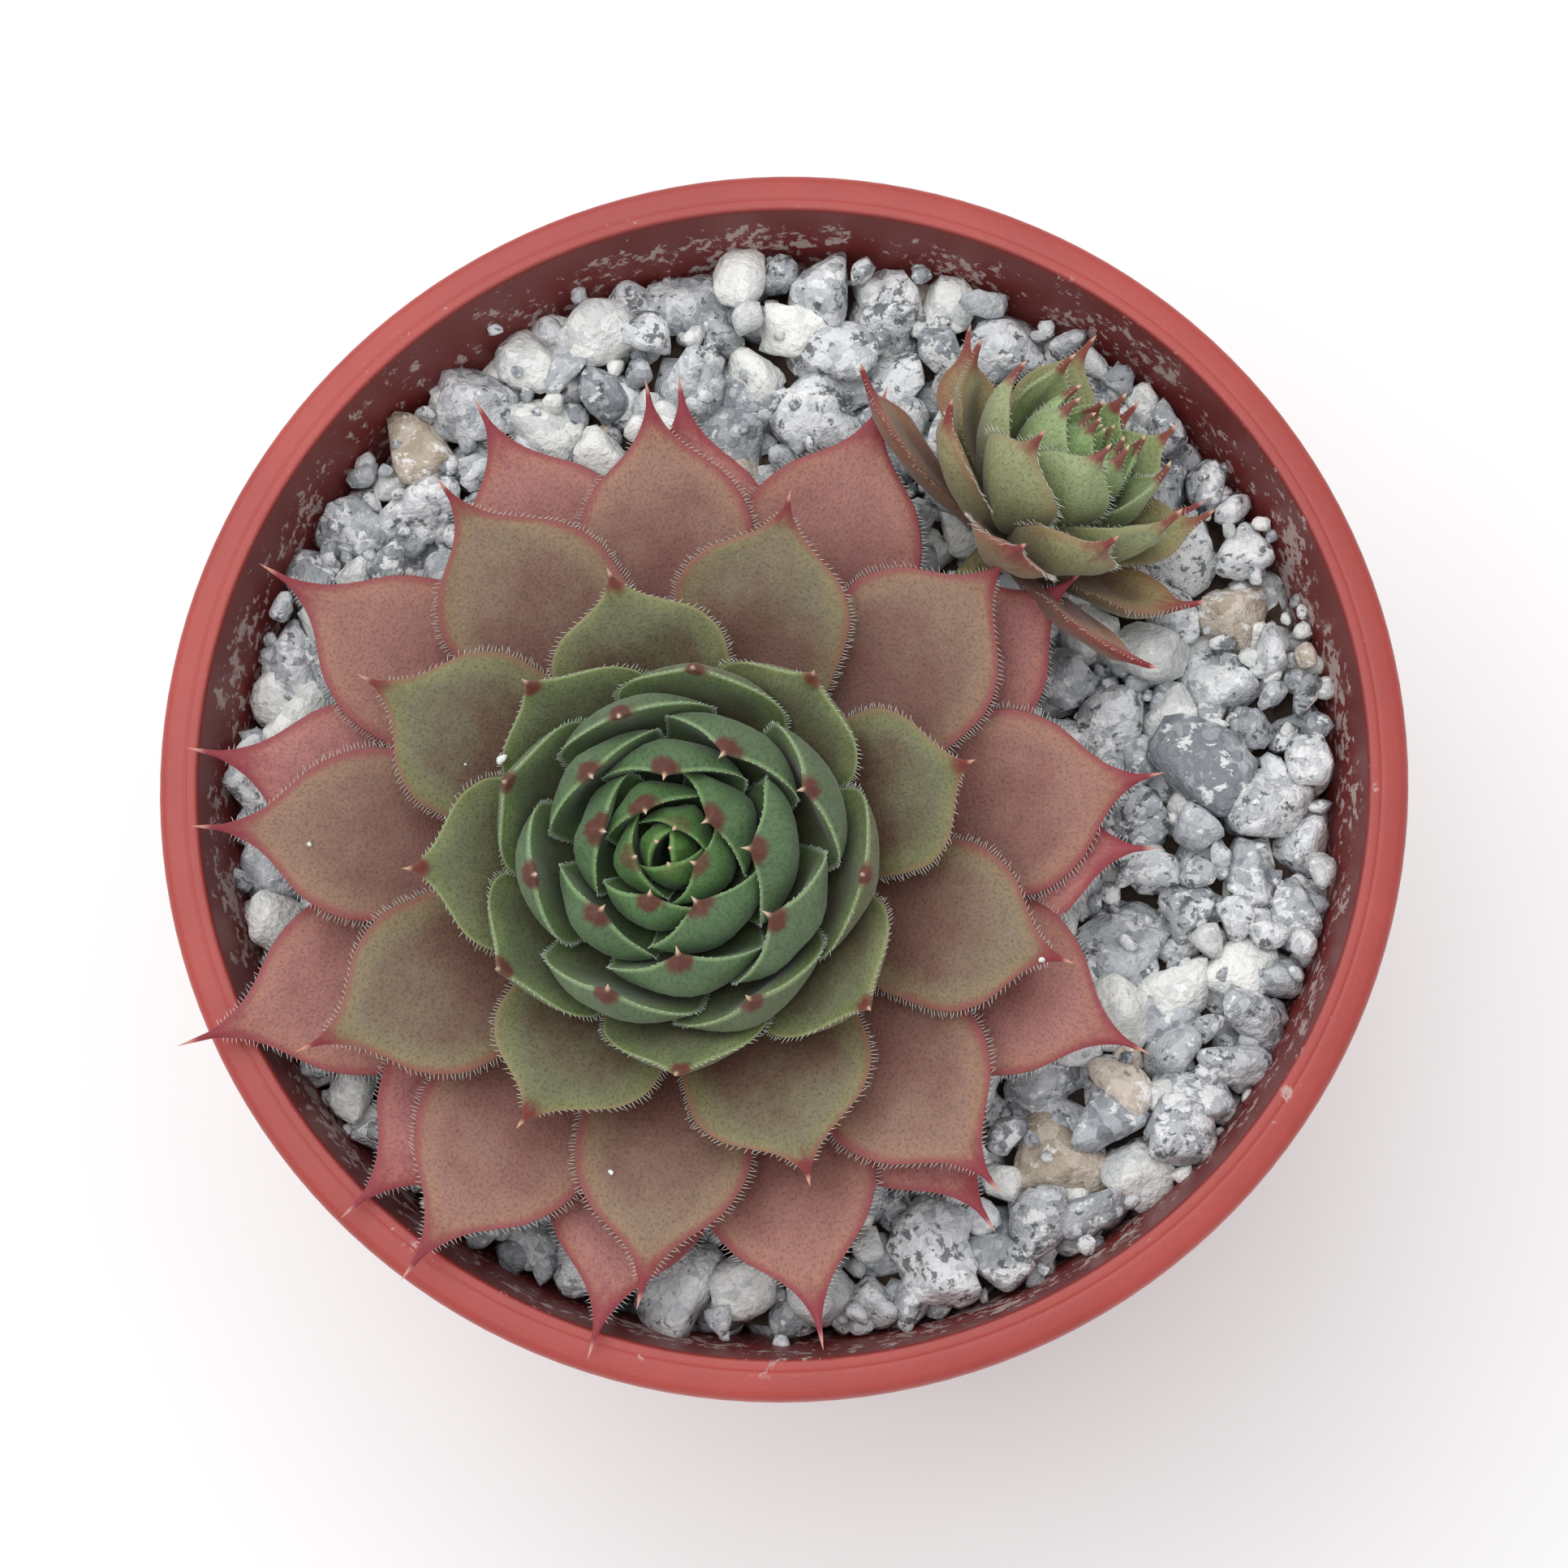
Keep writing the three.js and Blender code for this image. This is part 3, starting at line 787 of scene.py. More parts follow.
@dataclass(frozen=True)
class Rosette:
    """A rosette's leaves on their golden-angle spiral, in millimetres and degrees.

    Leaves are numbered from 0, the oldest. The lists hold one value for each growth stage.

    Attributes:
        name: The start of its pieces' names.
        foot: Where its axis starts.
        lean: How far the axis leans along x and y for each millimetre of height.
        nod_azimuth: The way that the whole rosette nods.
        nod_tilt: How far it nods from upright.
        nod_bed: How far its lower side can sink into what it lies on.
        first_azimuth: The way that the oldest leaf points.
        open_leaves: How many leaves are open.
        all_leaves: The youngest leaf's number.
        crowding: How far the leaves crowd to two opposite sides, and which.
        reach: How much longer the leaves are on one side, as a share, and which.
        tip_radius: How far from the axis the points are.
        tip_height: How high above the foot they are.
        base_radius: How far from the axis the leaves start.
        base_height: How high above the foot they start.
        base_angle: How steeply they leave the stem.
        tip_angle: How steeply they end.
        width: How broad the blades are.
        thickness: How thick they are.
        hair_length: How long the hairs on their margins are.
        point: How early the blade narrows; a higher number is a slimmer point.
        pinch: How far the blade is drawn in just before its point, as a share.
        widest: Where along it the blade is widest.
        cup: How strongly its face is cupped round the axis.
        tip_grip: How long the leaf keeps its end angle, as a share of its chord.
        curl: How much steeper the points are on one side than on the other.
        curl_azimuth: Which side that is.
        golden_angle: The turn from one leaf to the next.
    """

    name: str
    foot: tuple[float, float, float]
    lean: tuple[float, float]
    nod_azimuth: float
    nod_tilt: float
    nod_bed: float
    first_azimuth: float
    open_leaves: int
    all_leaves: int
    crowding: tuple[float, float]
    reach: tuple[float, float]
    tip_radius: tuple[float, ...]
    tip_height: tuple[float, ...]
    base_radius: tuple[float, ...]
    base_height: tuple[float, ...]
    base_angle: tuple[float, ...]
    tip_angle: tuple[float, ...]
    width: tuple[float, ...]
    thickness: tuple[float, ...]
    hair_length: tuple[float, ...]
    point: tuple[float, ...]
    pinch: tuple[float, ...]
    widest: tuple[float, ...]
    cup: tuple[float, ...]
    tip_grip: tuple[float, ...]
    curl: tuple[float, ...]
    curl_azimuth: float
    golden_angle: float = 137.93

    def at(self, values: tuple[float, ...], leaf: int) -> float:
        """Reads a leaf's value from a list whose stages are spread evenly over the leaves."""
        return float(np.interp(leaf, np.linspace(0.0, self.all_leaves, len(values)), values))

    def azimuth(self, leaf: int) -> float:
        """Finds the way that a leaf points.

        Args:
            leaf: The leaf's number.

        Returns:
            Its azimuth in radians.
        """
        spiral = self.first_azimuth - self.golden_angle * leaf
        size, phase = self.crowding
        return math.radians(spiral + size * math.sin(math.radians(2.0 * spiral - phase)))

    def place(
        self, azimuth: float, radius: np.ndarray, height: np.ndarray, across: np.ndarray
    ) -> np.ndarray:
        """Carries points from a leaf's upright plane to the pot's frame.

        Args:
            azimuth: The leaf's direction in radians.
            radius: Distances from the rosette's axis.
            height: Heights above its foot.
            across: Distances to the side of the leaf's plane.

        Returns:
            One row of x, y and z in metres for each point.
        """
        x = self.lean[0] * height + radius * math.cos(azimuth) - across * math.sin(azimuth)
        y = self.lean[1] * height + radius * math.sin(azimuth) + across * math.cos(azimuth)
        # The side that nods down sinks less and less, as it comes to rest on the stones.
        bed = self.nod_bed
        sunk = np.where(x > 0.0, bed * (1.0 - np.exp(-np.maximum(x, 0.0) / bed)), x)
        tilt = math.radians(self.nod_tilt)
        ahead = x * math.cos(tilt) + height * math.sin(tilt)
        up = height * math.cos(tilt) - sunk * math.sin(tilt)
        swing = math.radians(self.nod_azimuth)
        world_x = self.foot[0] + ahead * math.cos(swing) - y * math.sin(swing)
        world_y = self.foot[1] + ahead * math.sin(swing) + y * math.cos(swing)
        return np.stack([world_x, world_y, self.foot[2] + up], axis=-1) * MM


MOTHER = Rosette(
    name="main",
    foot=(-3.5, -4.0, 46.5),
    lean=(-0.143, -0.152),
    nod_azimuth=0.0,
    nod_tilt=0.0,
    nod_bed=1.0,
    first_azimuth=2.9,
    open_leaves=36,
    all_leaves=60,
    crowding=(3.6, 47.8),
    reach=(0.05, 171.0),
    tip_radius=(24.9, 27.0, 22.6, 12.4, 7.0, 2.9, 0.15),
    tip_height=(4.7, 5.7, 8.7, 12.2, 13.8, 13.4, 12.3),
    base_radius=(3.5, 3.0, 2.5, 2.1, 1.6, 1.1, 0.6),
    base_height=(0.9, 2.1, 3.3, 4.4, 5.6, 6.8, 8.0),
    base_angle=(4.0, 5.0, 8.0, 18.0, 28.0, 38.0, 80.0),
    tip_angle=(18.0, 20.0, 22.0, 26.0, 32.0, 42.0, 60.0, 88.0, 116.0, 136.0, 146.0, 140.0, 110.0),
    width=(9.0, 9.5, 9.3, 8.7, 8.0, 6.6, 3.2),
    thickness=(1.8, 2.0, 2.1, 2.0, 2.1, 1.9, 1.0),
    hair_length=(0.44, 0.44, 0.42, 0.36, 0.24, 0.18, 0.14),
    point=(1.35, 1.35, 1.25, 1.0, 0.85, 0.7, 0.8),
    pinch=(0.35, 0.35, 0.4, 0.4, 0.25, 0.1, 0.0),
    widest=(0.62, 0.62, 0.62, 0.64, 0.68, 0.7, 0.7),
    cup=(0.8, 0.8, 0.8, 0.7, 0.55, 0.75, 1.0),
    tip_grip=(0.36, 0.36, 0.36, 0.38, 0.54, 0.58, 0.4),
    curl=(0.0, 0.0, 0.0, 8.0, 16.0, 14.0, 0.0),
    curl_azimuth=-40.0,
)

OFFSET = Rosette(
    name="offset",
    foot=(11.3, 12.0, 48.1),
    lean=(0.0, 0.0),
    nod_azimuth=43.0,
    nod_tilt=60.0,
    nod_bed=1.6,
    first_azimuth=-112.0,
    open_leaves=14,
    all_leaves=30,
    crowding=(0.0, 0.0),
    reach=(0.14, 0.0),
    tip_radius=(13.2, 9.2, 7.0, 3.6, 1.7, 0.15),
    tip_height=(3.4, 6.0, 9.1, 10.0, 9.6, 9.0),
    base_radius=(1.5, 1.3, 1.1, 0.9, 0.7, 0.4),
    base_height=(0.4, 1.2, 2.0, 2.8, 3.6, 4.4),
    base_angle=(8.0, 16.0, 24.0, 32.0, 46.0, 75.0),
    tip_angle=(30.0, 60.0, 84.0, 98.0, 104.0, 95.0),
    width=(4.6, 5.3, 5.4, 4.4, 2.8, 1.2),
    thickness=(1.2, 1.4, 1.4, 1.2, 0.9, 0.5),
    hair_length=(0.55, 0.55, 0.5, 0.42, 0.3, 0.2),
    point=(1.5, 1.4, 1.3, 1.3, 1.2, 1.0),
    pinch=(0.45, 0.45, 0.45, 0.4, 0.3, 0.0),
    widest=(0.58, 0.58, 0.58, 0.6, 0.62, 0.62),
    cup=(0.9, 0.9, 0.9, 0.8, 0.8, 0.8),
    tip_grip=(0.36, 0.36, 0.4, 0.42, 0.42, 0.36),
    curl=(0.0,),
    curl_azimuth=0.0,
)


@dataclass
class Leaf:
    """One fleshy leaf: its centreline, its cupped face and rounded back, and its fringe of hairs.

    Sizes are in millimetres, and places along the leaf run from 0 at its base to 1 at its point.

    Attributes:
        rosette: The rosette it grows in.
        index: Its number there.
        neck: The base's width, as a share of the full width.
        handle: How long it keeps its base angle, as a share of its chord.
        upper: The share of its thickness that is above its margins.
        thinning: How much thinner the point is than the base, as a share.
        belly: How flat its section is; a higher number leaves thinner margins.
        least_curve: The smallest radius that its face is cupped to.
        blade: Where the blade ends and the needle starts.
        needle: The needle's half width.
        needle_depth: The needle's depth for each unit of its half width.
        back_edge: How sharply the back's colour starts at the margin.
        spot_squash: How much rounder the youngest leaf's crimson spot is.
        ring_bias: How far the rings crowd towards the point.
        rings: How many rings of faces it has.
        sides: How many faces are in each ring.
        stray_turn: How far it may point to either side, in degrees.
        stray_twist: How far it may twist, in degrees.
        stray_bend: How far its point may bend sideways.
        stray_lift: How far its point may rise or droop.
        stray_width: How much its width may differ, as a share.
        wave_count: How many waves cross its skin.
        wave_height: How high they are.
        skin_unit: How many millimetres one unit of its UV map covers.
        hair_run: Where the fringe of hairs starts and ends.
        hair_spacing: How far apart the hairs are.
        hair_radius: A hair's radius at its root.
        hair_taper: Its radius at its end, as a share of that.
        hair_middle: How far out its middle is, as a share of its length, so that its foot is sunk.
        hair_stray: How far each hair strays from its row.
        hair_forward: How far the hairs lean towards the point.
    """

    rosette: Rosette
    index: int
    neck: float = 0.42
    handle: float = 0.36
    upper: float = 0.3
    thinning: float = 0.35
    belly: float = 1.5
    least_curve: float = 1.5
    blade: float = 0.955
    needle: float = 0.15
    needle_depth: float = 2.0
    back_edge: float = 9.0
    spot_squash: float = 0.9
    ring_bias: float = 1.3
    rings: int = 40
    sides: int = 28
    stray_turn: float = 1.5
    stray_twist: float = 9.0
    stray_bend: float = 0.7
    stray_lift: float = 0.35
    stray_width: float = 0.05
    wave_count: int = 4
    wave_height: float = 0.05
    skin_unit: float = 10.0
    hair_run: tuple[float, float] = (0.32, 0.915)
    hair_spacing: float = 0.18
    hair_radius: float = 0.032
    hair_taper: float = 0.25
    hair_middle: float = 0.42
    hair_stray: float = 0.3
    hair_forward: float = 0.3
    sway: random.Random = field(init=False)

    def __post_init__(self) -> None:
        """Draws the small ways in which this leaf differs from its neighbours."""
        self.sway = random.Random(self.index + 1000 * len(self.rosette.name))
        ripeness = 1.0 - self.age
        self.turn = math.radians(self._stray(self.stray_turn)) * ripeness
        self.twist = math.radians(self._stray(self.stray_twist)) * ripeness
        self.bend = self._stray(self.stray_bend) * ripeness
        self.lift = self._stray(self.stray_lift) * ripeness
        self.broad = 1.0 + self._stray(self.stray_width)
        draw = self.sway.uniform
        self.waves = [
            (draw(1.0, 2.5), draw(0.3, 1.2), draw(0.0, FULL_TURN)) for _ in range(self.wave_count)
        ]
        self.skin_shift = (draw(0.0, 9.0), draw(0.0, 9.0))

    def _stray(self, limit: float) -> float:
        """Draws a number between the limit given and its opposite."""
        return self.sway.uniform(-limit, limit)

    @property
    def age(self) -> float:
        """Where the leaf stands between the oldest, at 0, and the youngest, at 1."""
        return self.index / self.rosette.all_leaves

    def own(self, values: tuple[float, ...]) -> float:
        """Reads this leaf's value from one of its rosette's lists."""
        return self.rosette.at(values, self.index)

    def width_share(self, along: np.ndarray) -> np.ndarray:
        """Finds how broad the blade is at places along it.

        Args:
            along: The places.

        Returns:
            Shares of the leaf's full width.
        """
        widest = self.own(self.rosette.widest)
        swell = np.sin(0.5 * math.pi * np.minimum(along / widest, 1.0))
        run = np.clip((along - widest) / (self.blade - widest), 0.0, 1.0)
        narrow = np.maximum(np.cos(0.5 * math.pi * run), 0.0) ** self.own(self.rosette.point)
        late = np.clip((run - 0.4) / 0.4, 0.0, 1.0)
        hollow = self.own(self.rosette.pinch) * late**2 * (3.0 - 2.0 * late)
        return (self.neck + (1.0 - self.neck) * swell) * narrow * (1.0 - hollow)

    def centreline(self, along: np.ndarray) -> tuple[np.ndarray, np.ndarray]:
        """Follows the leaf's middle line in its upright plane.

        Args:
            along: Places along the leaf.

        Returns:
            The points, as rows of radius and height, and the unit directions there.
        """
        rosette = self.rosette
        azimuth = rosette.azimuth(self.index)
        reach = 1.0 + rosette.reach[0] * math.cos(azimuth - math.radians(rosette.reach[1]))
        base = np.array([self.own(rosette.base_radius), self.own(rosette.base_height)])
        tip = np.array(
            [self.own(rosette.tip_radius) * reach, self.own(rosette.tip_height) + self.lift]
        )
        chord = float(np.linalg.norm(tip - base))
        curl = self.own(rosette.curl) * math.cos(azimuth - math.radians(rosette.curl_azimuth))
        start = math.radians(self.own(rosette.base_angle))
        end = math.radians(self.own(rosette.tip_angle) + curl)
        second = base + self.handle * chord * np.array([math.cos(start), math.sin(start)])
        grip = self.own(rosette.tip_grip) * chord
        third = tip - grip * np.array([math.cos(end), math.sin(end)])
        t = along[:, None]
        points = (1 - t) ** 3 * base + 3 * (1 - t) ** 2 * t * second
        points = points + 3 * (1 - t) * t**2 * third + t**3 * tip
        ways = (1 - t) ** 2 * (second - base) + 2 * (1 - t) * t * (third - second)
        ways = ways + t**2 * (tip - third)
        return points, ways / np.linalg.norm(ways, axis=1, keepdims=True)

    def surface(self, along: np.ndarray, angle: np.ndarray) -> tuple[np.ndarray, np.ndarray]:
        """Finds points on the leaf's skin.

        Args:
            along: Places along the leaf.
            angle: Angles round the leaf's section, with 0 and pi at its two margins.

        Returns:
            The points in metres, and the leaf's half width at each in millimetres.
        """
        rosette = self.rosette
        centre, ahead = self.centreline(along)
        share = self.width_share(along)
        spine = self.needle * np.clip((1.0 - along) / (1.0 - self.blade), 0.0, 1.0)
        half = 0.5 * self.broad * share * self.own(rosette.width)
        half = np.sqrt(half**2 + spine**2)
        thick = self.own(rosette.thickness) * np.sqrt(share) * (1.0 - self.thinning * along)
        thick = np.sqrt(thick**2 + (self.needle_depth * spine) ** 2)
        side = np.cos(angle)
        depth = np.where(np.sin(angle) > 0.0, self.upper, self.upper - 1.0)
        rise = depth * thick * np.abs(np.sin(angle)) ** self.belly
        curve = np.maximum(centre[:, 0], self.least_curve)
        rise = rise + self.own(rosette.cup) * half**2 / (2.0 * curve) * side**2
        for turns, swing, phase in self.waves:
            wave = np.sin(FULL_TURN * (turns * along + swing * side) + phase)
            rise = rise + self.wave_height * share * wave
        across = half * side
        roll = self.twist * along
        across, rise = (
            across * np.cos(roll) - rise * np.sin(roll),
            across * np.sin(roll) + rise * np.cos(roll),
        )
        radius = centre[:, 0] - ahead[:, 1] * rise
        height = centre[:, 1] + ahead[:, 0] * rise
        azimuth = rosette.azimuth(self.index) + self.turn
        points = rosette.place(azimuth, radius, height, across + self.bend * along**2)
        return points, half

    def build(self) -> bmesh.types.BMesh:
        """Models the leaf and its hairs.

        Returns:
            The mesh, with the numbers that the leaf finish reads at its points.
        """
        shape = bmesh.new()
        layers = {name: shape.verts.layers.float.new(name) for name in LEAF_NUMBERS}
        skin = shape.loops.layers.uv.new("skin")
        bmesh.ops.create_uvsphere(
            shape, u_segments=self.sides, v_segments=self.rings, radius=1.0
        )
        verts = list(shape.verts)
        ball = np.array([vert.co for vert in verts])
        polar = np.arccos(np.clip(ball[:, 2], -1.0, 1.0)) / math.pi
        along = 1.0 - polar**self.ring_bias
        angle = np.arctan2(ball[:, 1], ball[:, 0])
        points, half = self.surface(along, angle)
        length = self.length()
        across = half * np.cos(angle)
        under = 1.0 / (1.0 + np.exp(self.back_edge * np.sin(angle)))
        squash = 1.0 + self.spot_squash * self.age
        from_tip = np.hypot(squash * length * (self.blade - along), across)
        ages = np.full(len(verts), self.age)
        columns = zip(ages, along, under, half - np.abs(across), from_tip)
        for vert, point, numbers in zip(verts, points, columns):
            vert.co = Vector(point)
            for name, number in zip(LEAF_NUMBERS, numbers):
                vert[layers[name]] = number
        self._lay_skin(shape, skin, dict(zip(verts, zip(across, along * length))))
        bmesh.ops.recalc_face_normals(shape, faces=shape.faces)
        self._grow_hairs(shape, layers, length)
        return shape

    def length(self) -> float:
        """The length of the leaf's middle line in millimetres."""
        points, _ = self.centreline(np.linspace(0.0, 1.0, 24))
        return float(np.linalg.norm(np.diff(points, axis=0), axis=1).sum())

    def _lay_skin(
        self, shape: bmesh.types.BMesh, skin: bmesh.types.BMLayerItem, flat: dict
    ) -> None:
        """Lays the UV map at true scale, shifted by a different amount for each leaf.

        Args:
            shape: The leaf's mesh.
            skin: Its UV layer.
            flat: Each vertex's distances across and along the leaf.
        """
        for face in shape.faces:
            for loop in face.loops:
                loop[skin].uv = [
                    size / self.skin_unit + shift
                    for size, shift in zip(flat[loop.vert], self.skin_shift)
                ]

    def _grow_hairs(self, shape: bmesh.types.BMesh, layers: dict, length: float) -> None:
        """Sets a fringe of fine hairs along both margins, shorter towards the point.

        Args:
            shape: The leaf's mesh, which the hairs join.
            layers: The layers of the numbers that its points carry.
            length: The leaf's length.
        """
        size = self.own(self.rosette.hair_length)
        start, end = self.hair_run
        count = max(6, int(length * (end - start) / self.hair_spacing))
        places = np.linspace(start, end, count)
        middles, _ = self.surface(places, np.full(count, 0.5 * math.pi))
        for margin in (0.0, math.pi):
            roots, _ = self.surface(places, np.full(count, margin))
            onward, _ = self.surface(np.minimum(places + 0.01, 1.0), np.full(count, margin))
            for root, middle, ahead, place in zip(roots, middles, onward, places):
                outward = Vector(root - middle).normalized()
                forward = self.hair_forward * Vector(ahead - root).normalized()
                stray = Vector([self._stray(self.hair_stray) for _ in range(3)])
                shorter = 1.0 - 0.5 * max(0.0, place - 0.7) / 0.3
                tall = size * self.sway.uniform(0.6, 1.2) * shorter * MM
                way = (outward + forward + stray).normalized()
                self._hair(shape, layers, Vector(root), way * tall)

    def _hair(
        self, shape: bmesh.types.BMesh, layers: dict, root: Vector, stem: Vector
    ) -> None:
        """Adds one tapered hair, with its foot sunk a little into the skin.

        Args:
            shape: The leaf's mesh.
            layers: The layers of the numbers that its points carry.
            root: Where the hair leaves the skin, in metres.
            stem: The hair's direction and length.
        """
        turn = stem.normalized().to_track_quat("Z", "Y").to_matrix().to_4x4()
        hair = bmesh.ops.create_cone(
            shape,
            cap_ends=True,
            cap_tris=True,
            segments=3,
            radius1=self.hair_radius * MM,
            radius2=self.hair_taper * self.hair_radius * MM,
            depth=stem.length,
            matrix=Matrix.Translation(root + self.hair_middle * stem) @ turn,
        )
        for vert in hair["verts"]:
            vert[layers["age"]] = self.age
            vert[layers["along"]] = (vert.co - root).length / stem.length
            for face in vert.link_faces:
                face.material_index = 1


@dataclass
class RosetteBuilder:
    """Builds every leaf of a rosette as a piece of its own."""

    rosette: Rosette
    finishes: list[bpy.types.Material]
    open_slots: tuple[tuple[int, str], ...]

    def build(self) -> None:
        """Makes the pieces, oldest leaf first."""
        for index in range(self.rosette.all_leaves + 1):
            habit = Habit.OPEN if index < self.rosette.open_leaves else Habit.BUD
            name = self.rosette.name
            node = f"{name}_leaf_{index + 1:02d}" if habit is Habit.OPEN else f"{name}_bud"
            add_piece(
                f"{name}_{habit.value}_leaf_{index + 1:02d}",
                Leaf(self.rosette, index).build(),
                self.finishes,
                [node],
            )


# ------------------------------------------------------------------------------ stones


class Rock(Enum):
    """The kinds of stone in the grit."""

    GRANITE = "granite"
    QUARTZ = "quartz"
    SLATE = "slate"
    SANDSTONE = "sandstone"


@dataclass(frozen=True)
class Stone:
    """One stone's place and size in millimetres, its rock, and whether it is finely modelled."""

    x: float
    y: float
    top: float
    size: float
    rock: Rock
    detailed: bool = False


# Stones that stand out of the bed: x, y, size in millimetres, and their rock.
FEATURE_STONES = (
    (14.4, -20.0, 5.6, Rock.SANDSTONE),
    (24.0, 9.2, 4.4, Rock.SANDSTONE),
    (17.4, -16.2, 3.4, Rock.SANDSTONE),
    (0.6, 25.0, 4.2, Rock.QUARTZ),
    (-26.0, 3.6, 4.2, Rock.QUARTZ),
    (-9.9, 18.4, 3.6, Rock.QUARTZ),
    (25.2, -0.8, 5.2, Rock.GRANITE),
    (1.9, 20.2, 5.4, Rock.GRANITE),
    (-5.0, 22.4, 4.6, Rock.GRANITE),
    (-19.8, 15.2, 5.0, Rock.GRANITE),
    (17.6, 3.4, 4.4, Rock.GRANITE),
    (13.4, -16.2, 4.4, Rock.GRANITE),
    (7.4, -23.6, 4.6, Rock.GRANITE),
    (20.6, -11.0, 4.4, Rock.QUARTZ),
    (23.2, 5.2, 4.2, Rock.GRANITE),
)

# Crumbs of grit on the mother's leaves: leaf, place along it, angle round its section, size.
CRUMBS = (
    (33, 0.76, 0.15, 0.6),
    (19, 0.68, 2.18, 0.34),
    (21, 0.9, 2.2, 0.4),
    (17, 0.75, 1.37, 0.26),
    (25, 0.6, 1.2, 0.2),
)


@dataclass
class GritBed:
    """The stone top dressing: layers of crushed stones with fines between them.

    Sizes are in millimetres.

    Attributes:
        finishes: The material for each kind of rock.
        wall_radius: The pot's inside radius at the bed.
        level: The height of the bed's top.
        layer_counts: How many stones each layer has, the top one first.
        layer_drop: How far each layer lies below the one above.
        size_spans: The smallest and largest stones of each grade.
        size_shares: How common each grade is.
        rock_shares: How common each kind of rock is.
        fines: How many small stones fill the gaps.
        fine_span: The smallest and largest of those.
        fine_drop: How far below the bed's top they lie.
        contact: The share of two stones' sizes at which they touch.
        settle_step: How much of an overlap one round of settling takes away.
        settle_rounds: How many rounds there are.
        shelter_radius: How far from the plant's foot the leaves cover the bed.
        shelter_drop: How much lower the stones lie there.
        detail_size: The size above which a top stone is finely modelled.
        crumb_rise: How much of a crumb stands above the leaf that it lies on.
        facets: How many broken faces each stone has.
        facet_depths: How far out those faces lie, as shares of the stone's radius.
        core: The share of its radius that no face cuts into.
        crispness: How sharp the edges between faces are.
        ripples: The waves that roughen a stone, each by its fineness.
        ripple_height: How high they are.
        tilt: How far a stone is tipped, in radians.
        tray_size: How many stones are modelled together, which only saves time.
        seed: What the random draws start from.
    """

    finishes: dict[Rock, bpy.types.Material]
    wall_radius: float = 29.4
    level: float = 46.9
    layer_counts: tuple[int, ...] = (350, 370, 340)
    layer_drop: float = 1.55
    size_spans: tuple[tuple[float, float], ...] = ((1.7, 2.8), (2.8, 4.0), (4.0, 5.4))
    size_shares: tuple[int, ...] = (5, 5, 2)
    rock_shares: tuple[int, ...] = (60, 20, 19, 1)
    fines: int = 1000
    fine_span: tuple[float, float] = (0.6, 1.5)
    fine_drop: tuple[float, float] = (0.6, 1.6)
    contact: float = 0.93
    settle_step: float = 0.3
    settle_rounds: int = 90
    shelter_radius: float = 20.0
    shelter_drop: float = 0.6
    detail_size: float = 2.4
    crumb_rise: float = 0.7
    facets: int = 12
    facet_depths: tuple[float, float] = (0.62, 1.0)
    core: float = 0.75
    crispness: float = 22.0
    ripples: tuple[float, ...] = (2.5, 5.0, 9.0, 15.0)
    ripple_height: float = 0.055
    tilt: float = 0.5
    tray_size: int = 24
    seed: int = 11

    def plan(self) -> list[Stone]:
        """Scatters the stones and lets them settle beside each other.

        Returns:
            Every stone, the feature stones first.
        """
        draw = random.Random(self.seed)
        stones: list[Stone] = []
        for layer, count in enumerate(self.layer_counts):
            features = FEATURE_STONES if layer == 0 else ()
            rows = [(x, y, size) for x, y, size, _ in features]
            while len(rows) < count:
                x, y = self._spot(draw)
                sizes = [draw.uniform(*span) for span in self.size_spans]
                rows.append((x, y, draw.choices(sizes, self.size_shares)[0]))
            places = self._settle(np.array(rows), len(features))
            for number, (x, y, size) in enumerate(places):
                rock = features[number][3] if number < len(features) else self._rock(draw)
                top = self._top(x, y, draw) - layer * self.layer_drop
                detailed = layer == 0 and size > self.detail_size
                stones.append(Stone(x, y, top, size, rock, detailed))
        for _ in range(self.fines):
            x, y = self._spot(draw)
            top = self._top(x, y, draw) - draw.uniform(*self.fine_drop)
            stones.append(Stone(x, y, top, draw.uniform(*self.fine_span), self._rock(draw)))
        for leaf, along, angle, size in CRUMBS:
            rest, _ = Leaf(MOTHER, leaf).surface(np.array([along]), np.array([angle]))
            x, y, level = rest[0] / MM
            stones.append(Stone(x, y, level + self.crumb_rise * size, size, Rock.QUARTZ))
        return stones

    def _spot(self, draw: random.Random) -> tuple[float, float]:
        """Draws a place in the bed, with every part of it as likely.

        Args:
            draw: The source of chance.

        Returns:
            Its x and y.
        """
        ring = self.wall_radius * math.sqrt(draw.random())
        angle = draw.uniform(0.0, FULL_TURN)
        return ring * math.cos(angle), ring * math.sin(angle)

    def _rock(self, draw: random.Random) -> Rock:
        """Draws a rock at the grit's mixture."""
        return draw.choices(list(Rock), self.rock_shares)[0]

    def _settle(self, rows: np.ndarray, fixed: int) -> np.ndarray:
        """Pushes overlapping stones apart and back inside the wall.

        Args:
            rows: Each stone's x, y and size.
            fixed: How many of the first stones stay where they are.

        Returns:
            The rows with the stones' new places.
        """
        place, size = rows[:, :2].copy(), rows[:, 2]
        reach = 0.5 * self.contact * (size[:, None] + size[None, :])
        for _ in range(self.settle_rounds):
            gap = place[:, None, :] - place[None, :, :]
            far = np.linalg.norm(gap, axis=2) + 1e-6
            push = np.clip(reach - far, 0.0, None)
            np.fill_diagonal(push, 0.0)
            shift = (gap / far[:, :, None] * push[:, :, None]).sum(axis=1) * self.settle_step
            shift[:fixed] = 0.0
            place += shift
            ring = np.linalg.norm(place, axis=1)
            limit = self.wall_radius - 0.5 * size
            over = ring > limit
            place[over] *= (limit[over] / ring[over])[:, None]
        return np.column_stack([place, size])

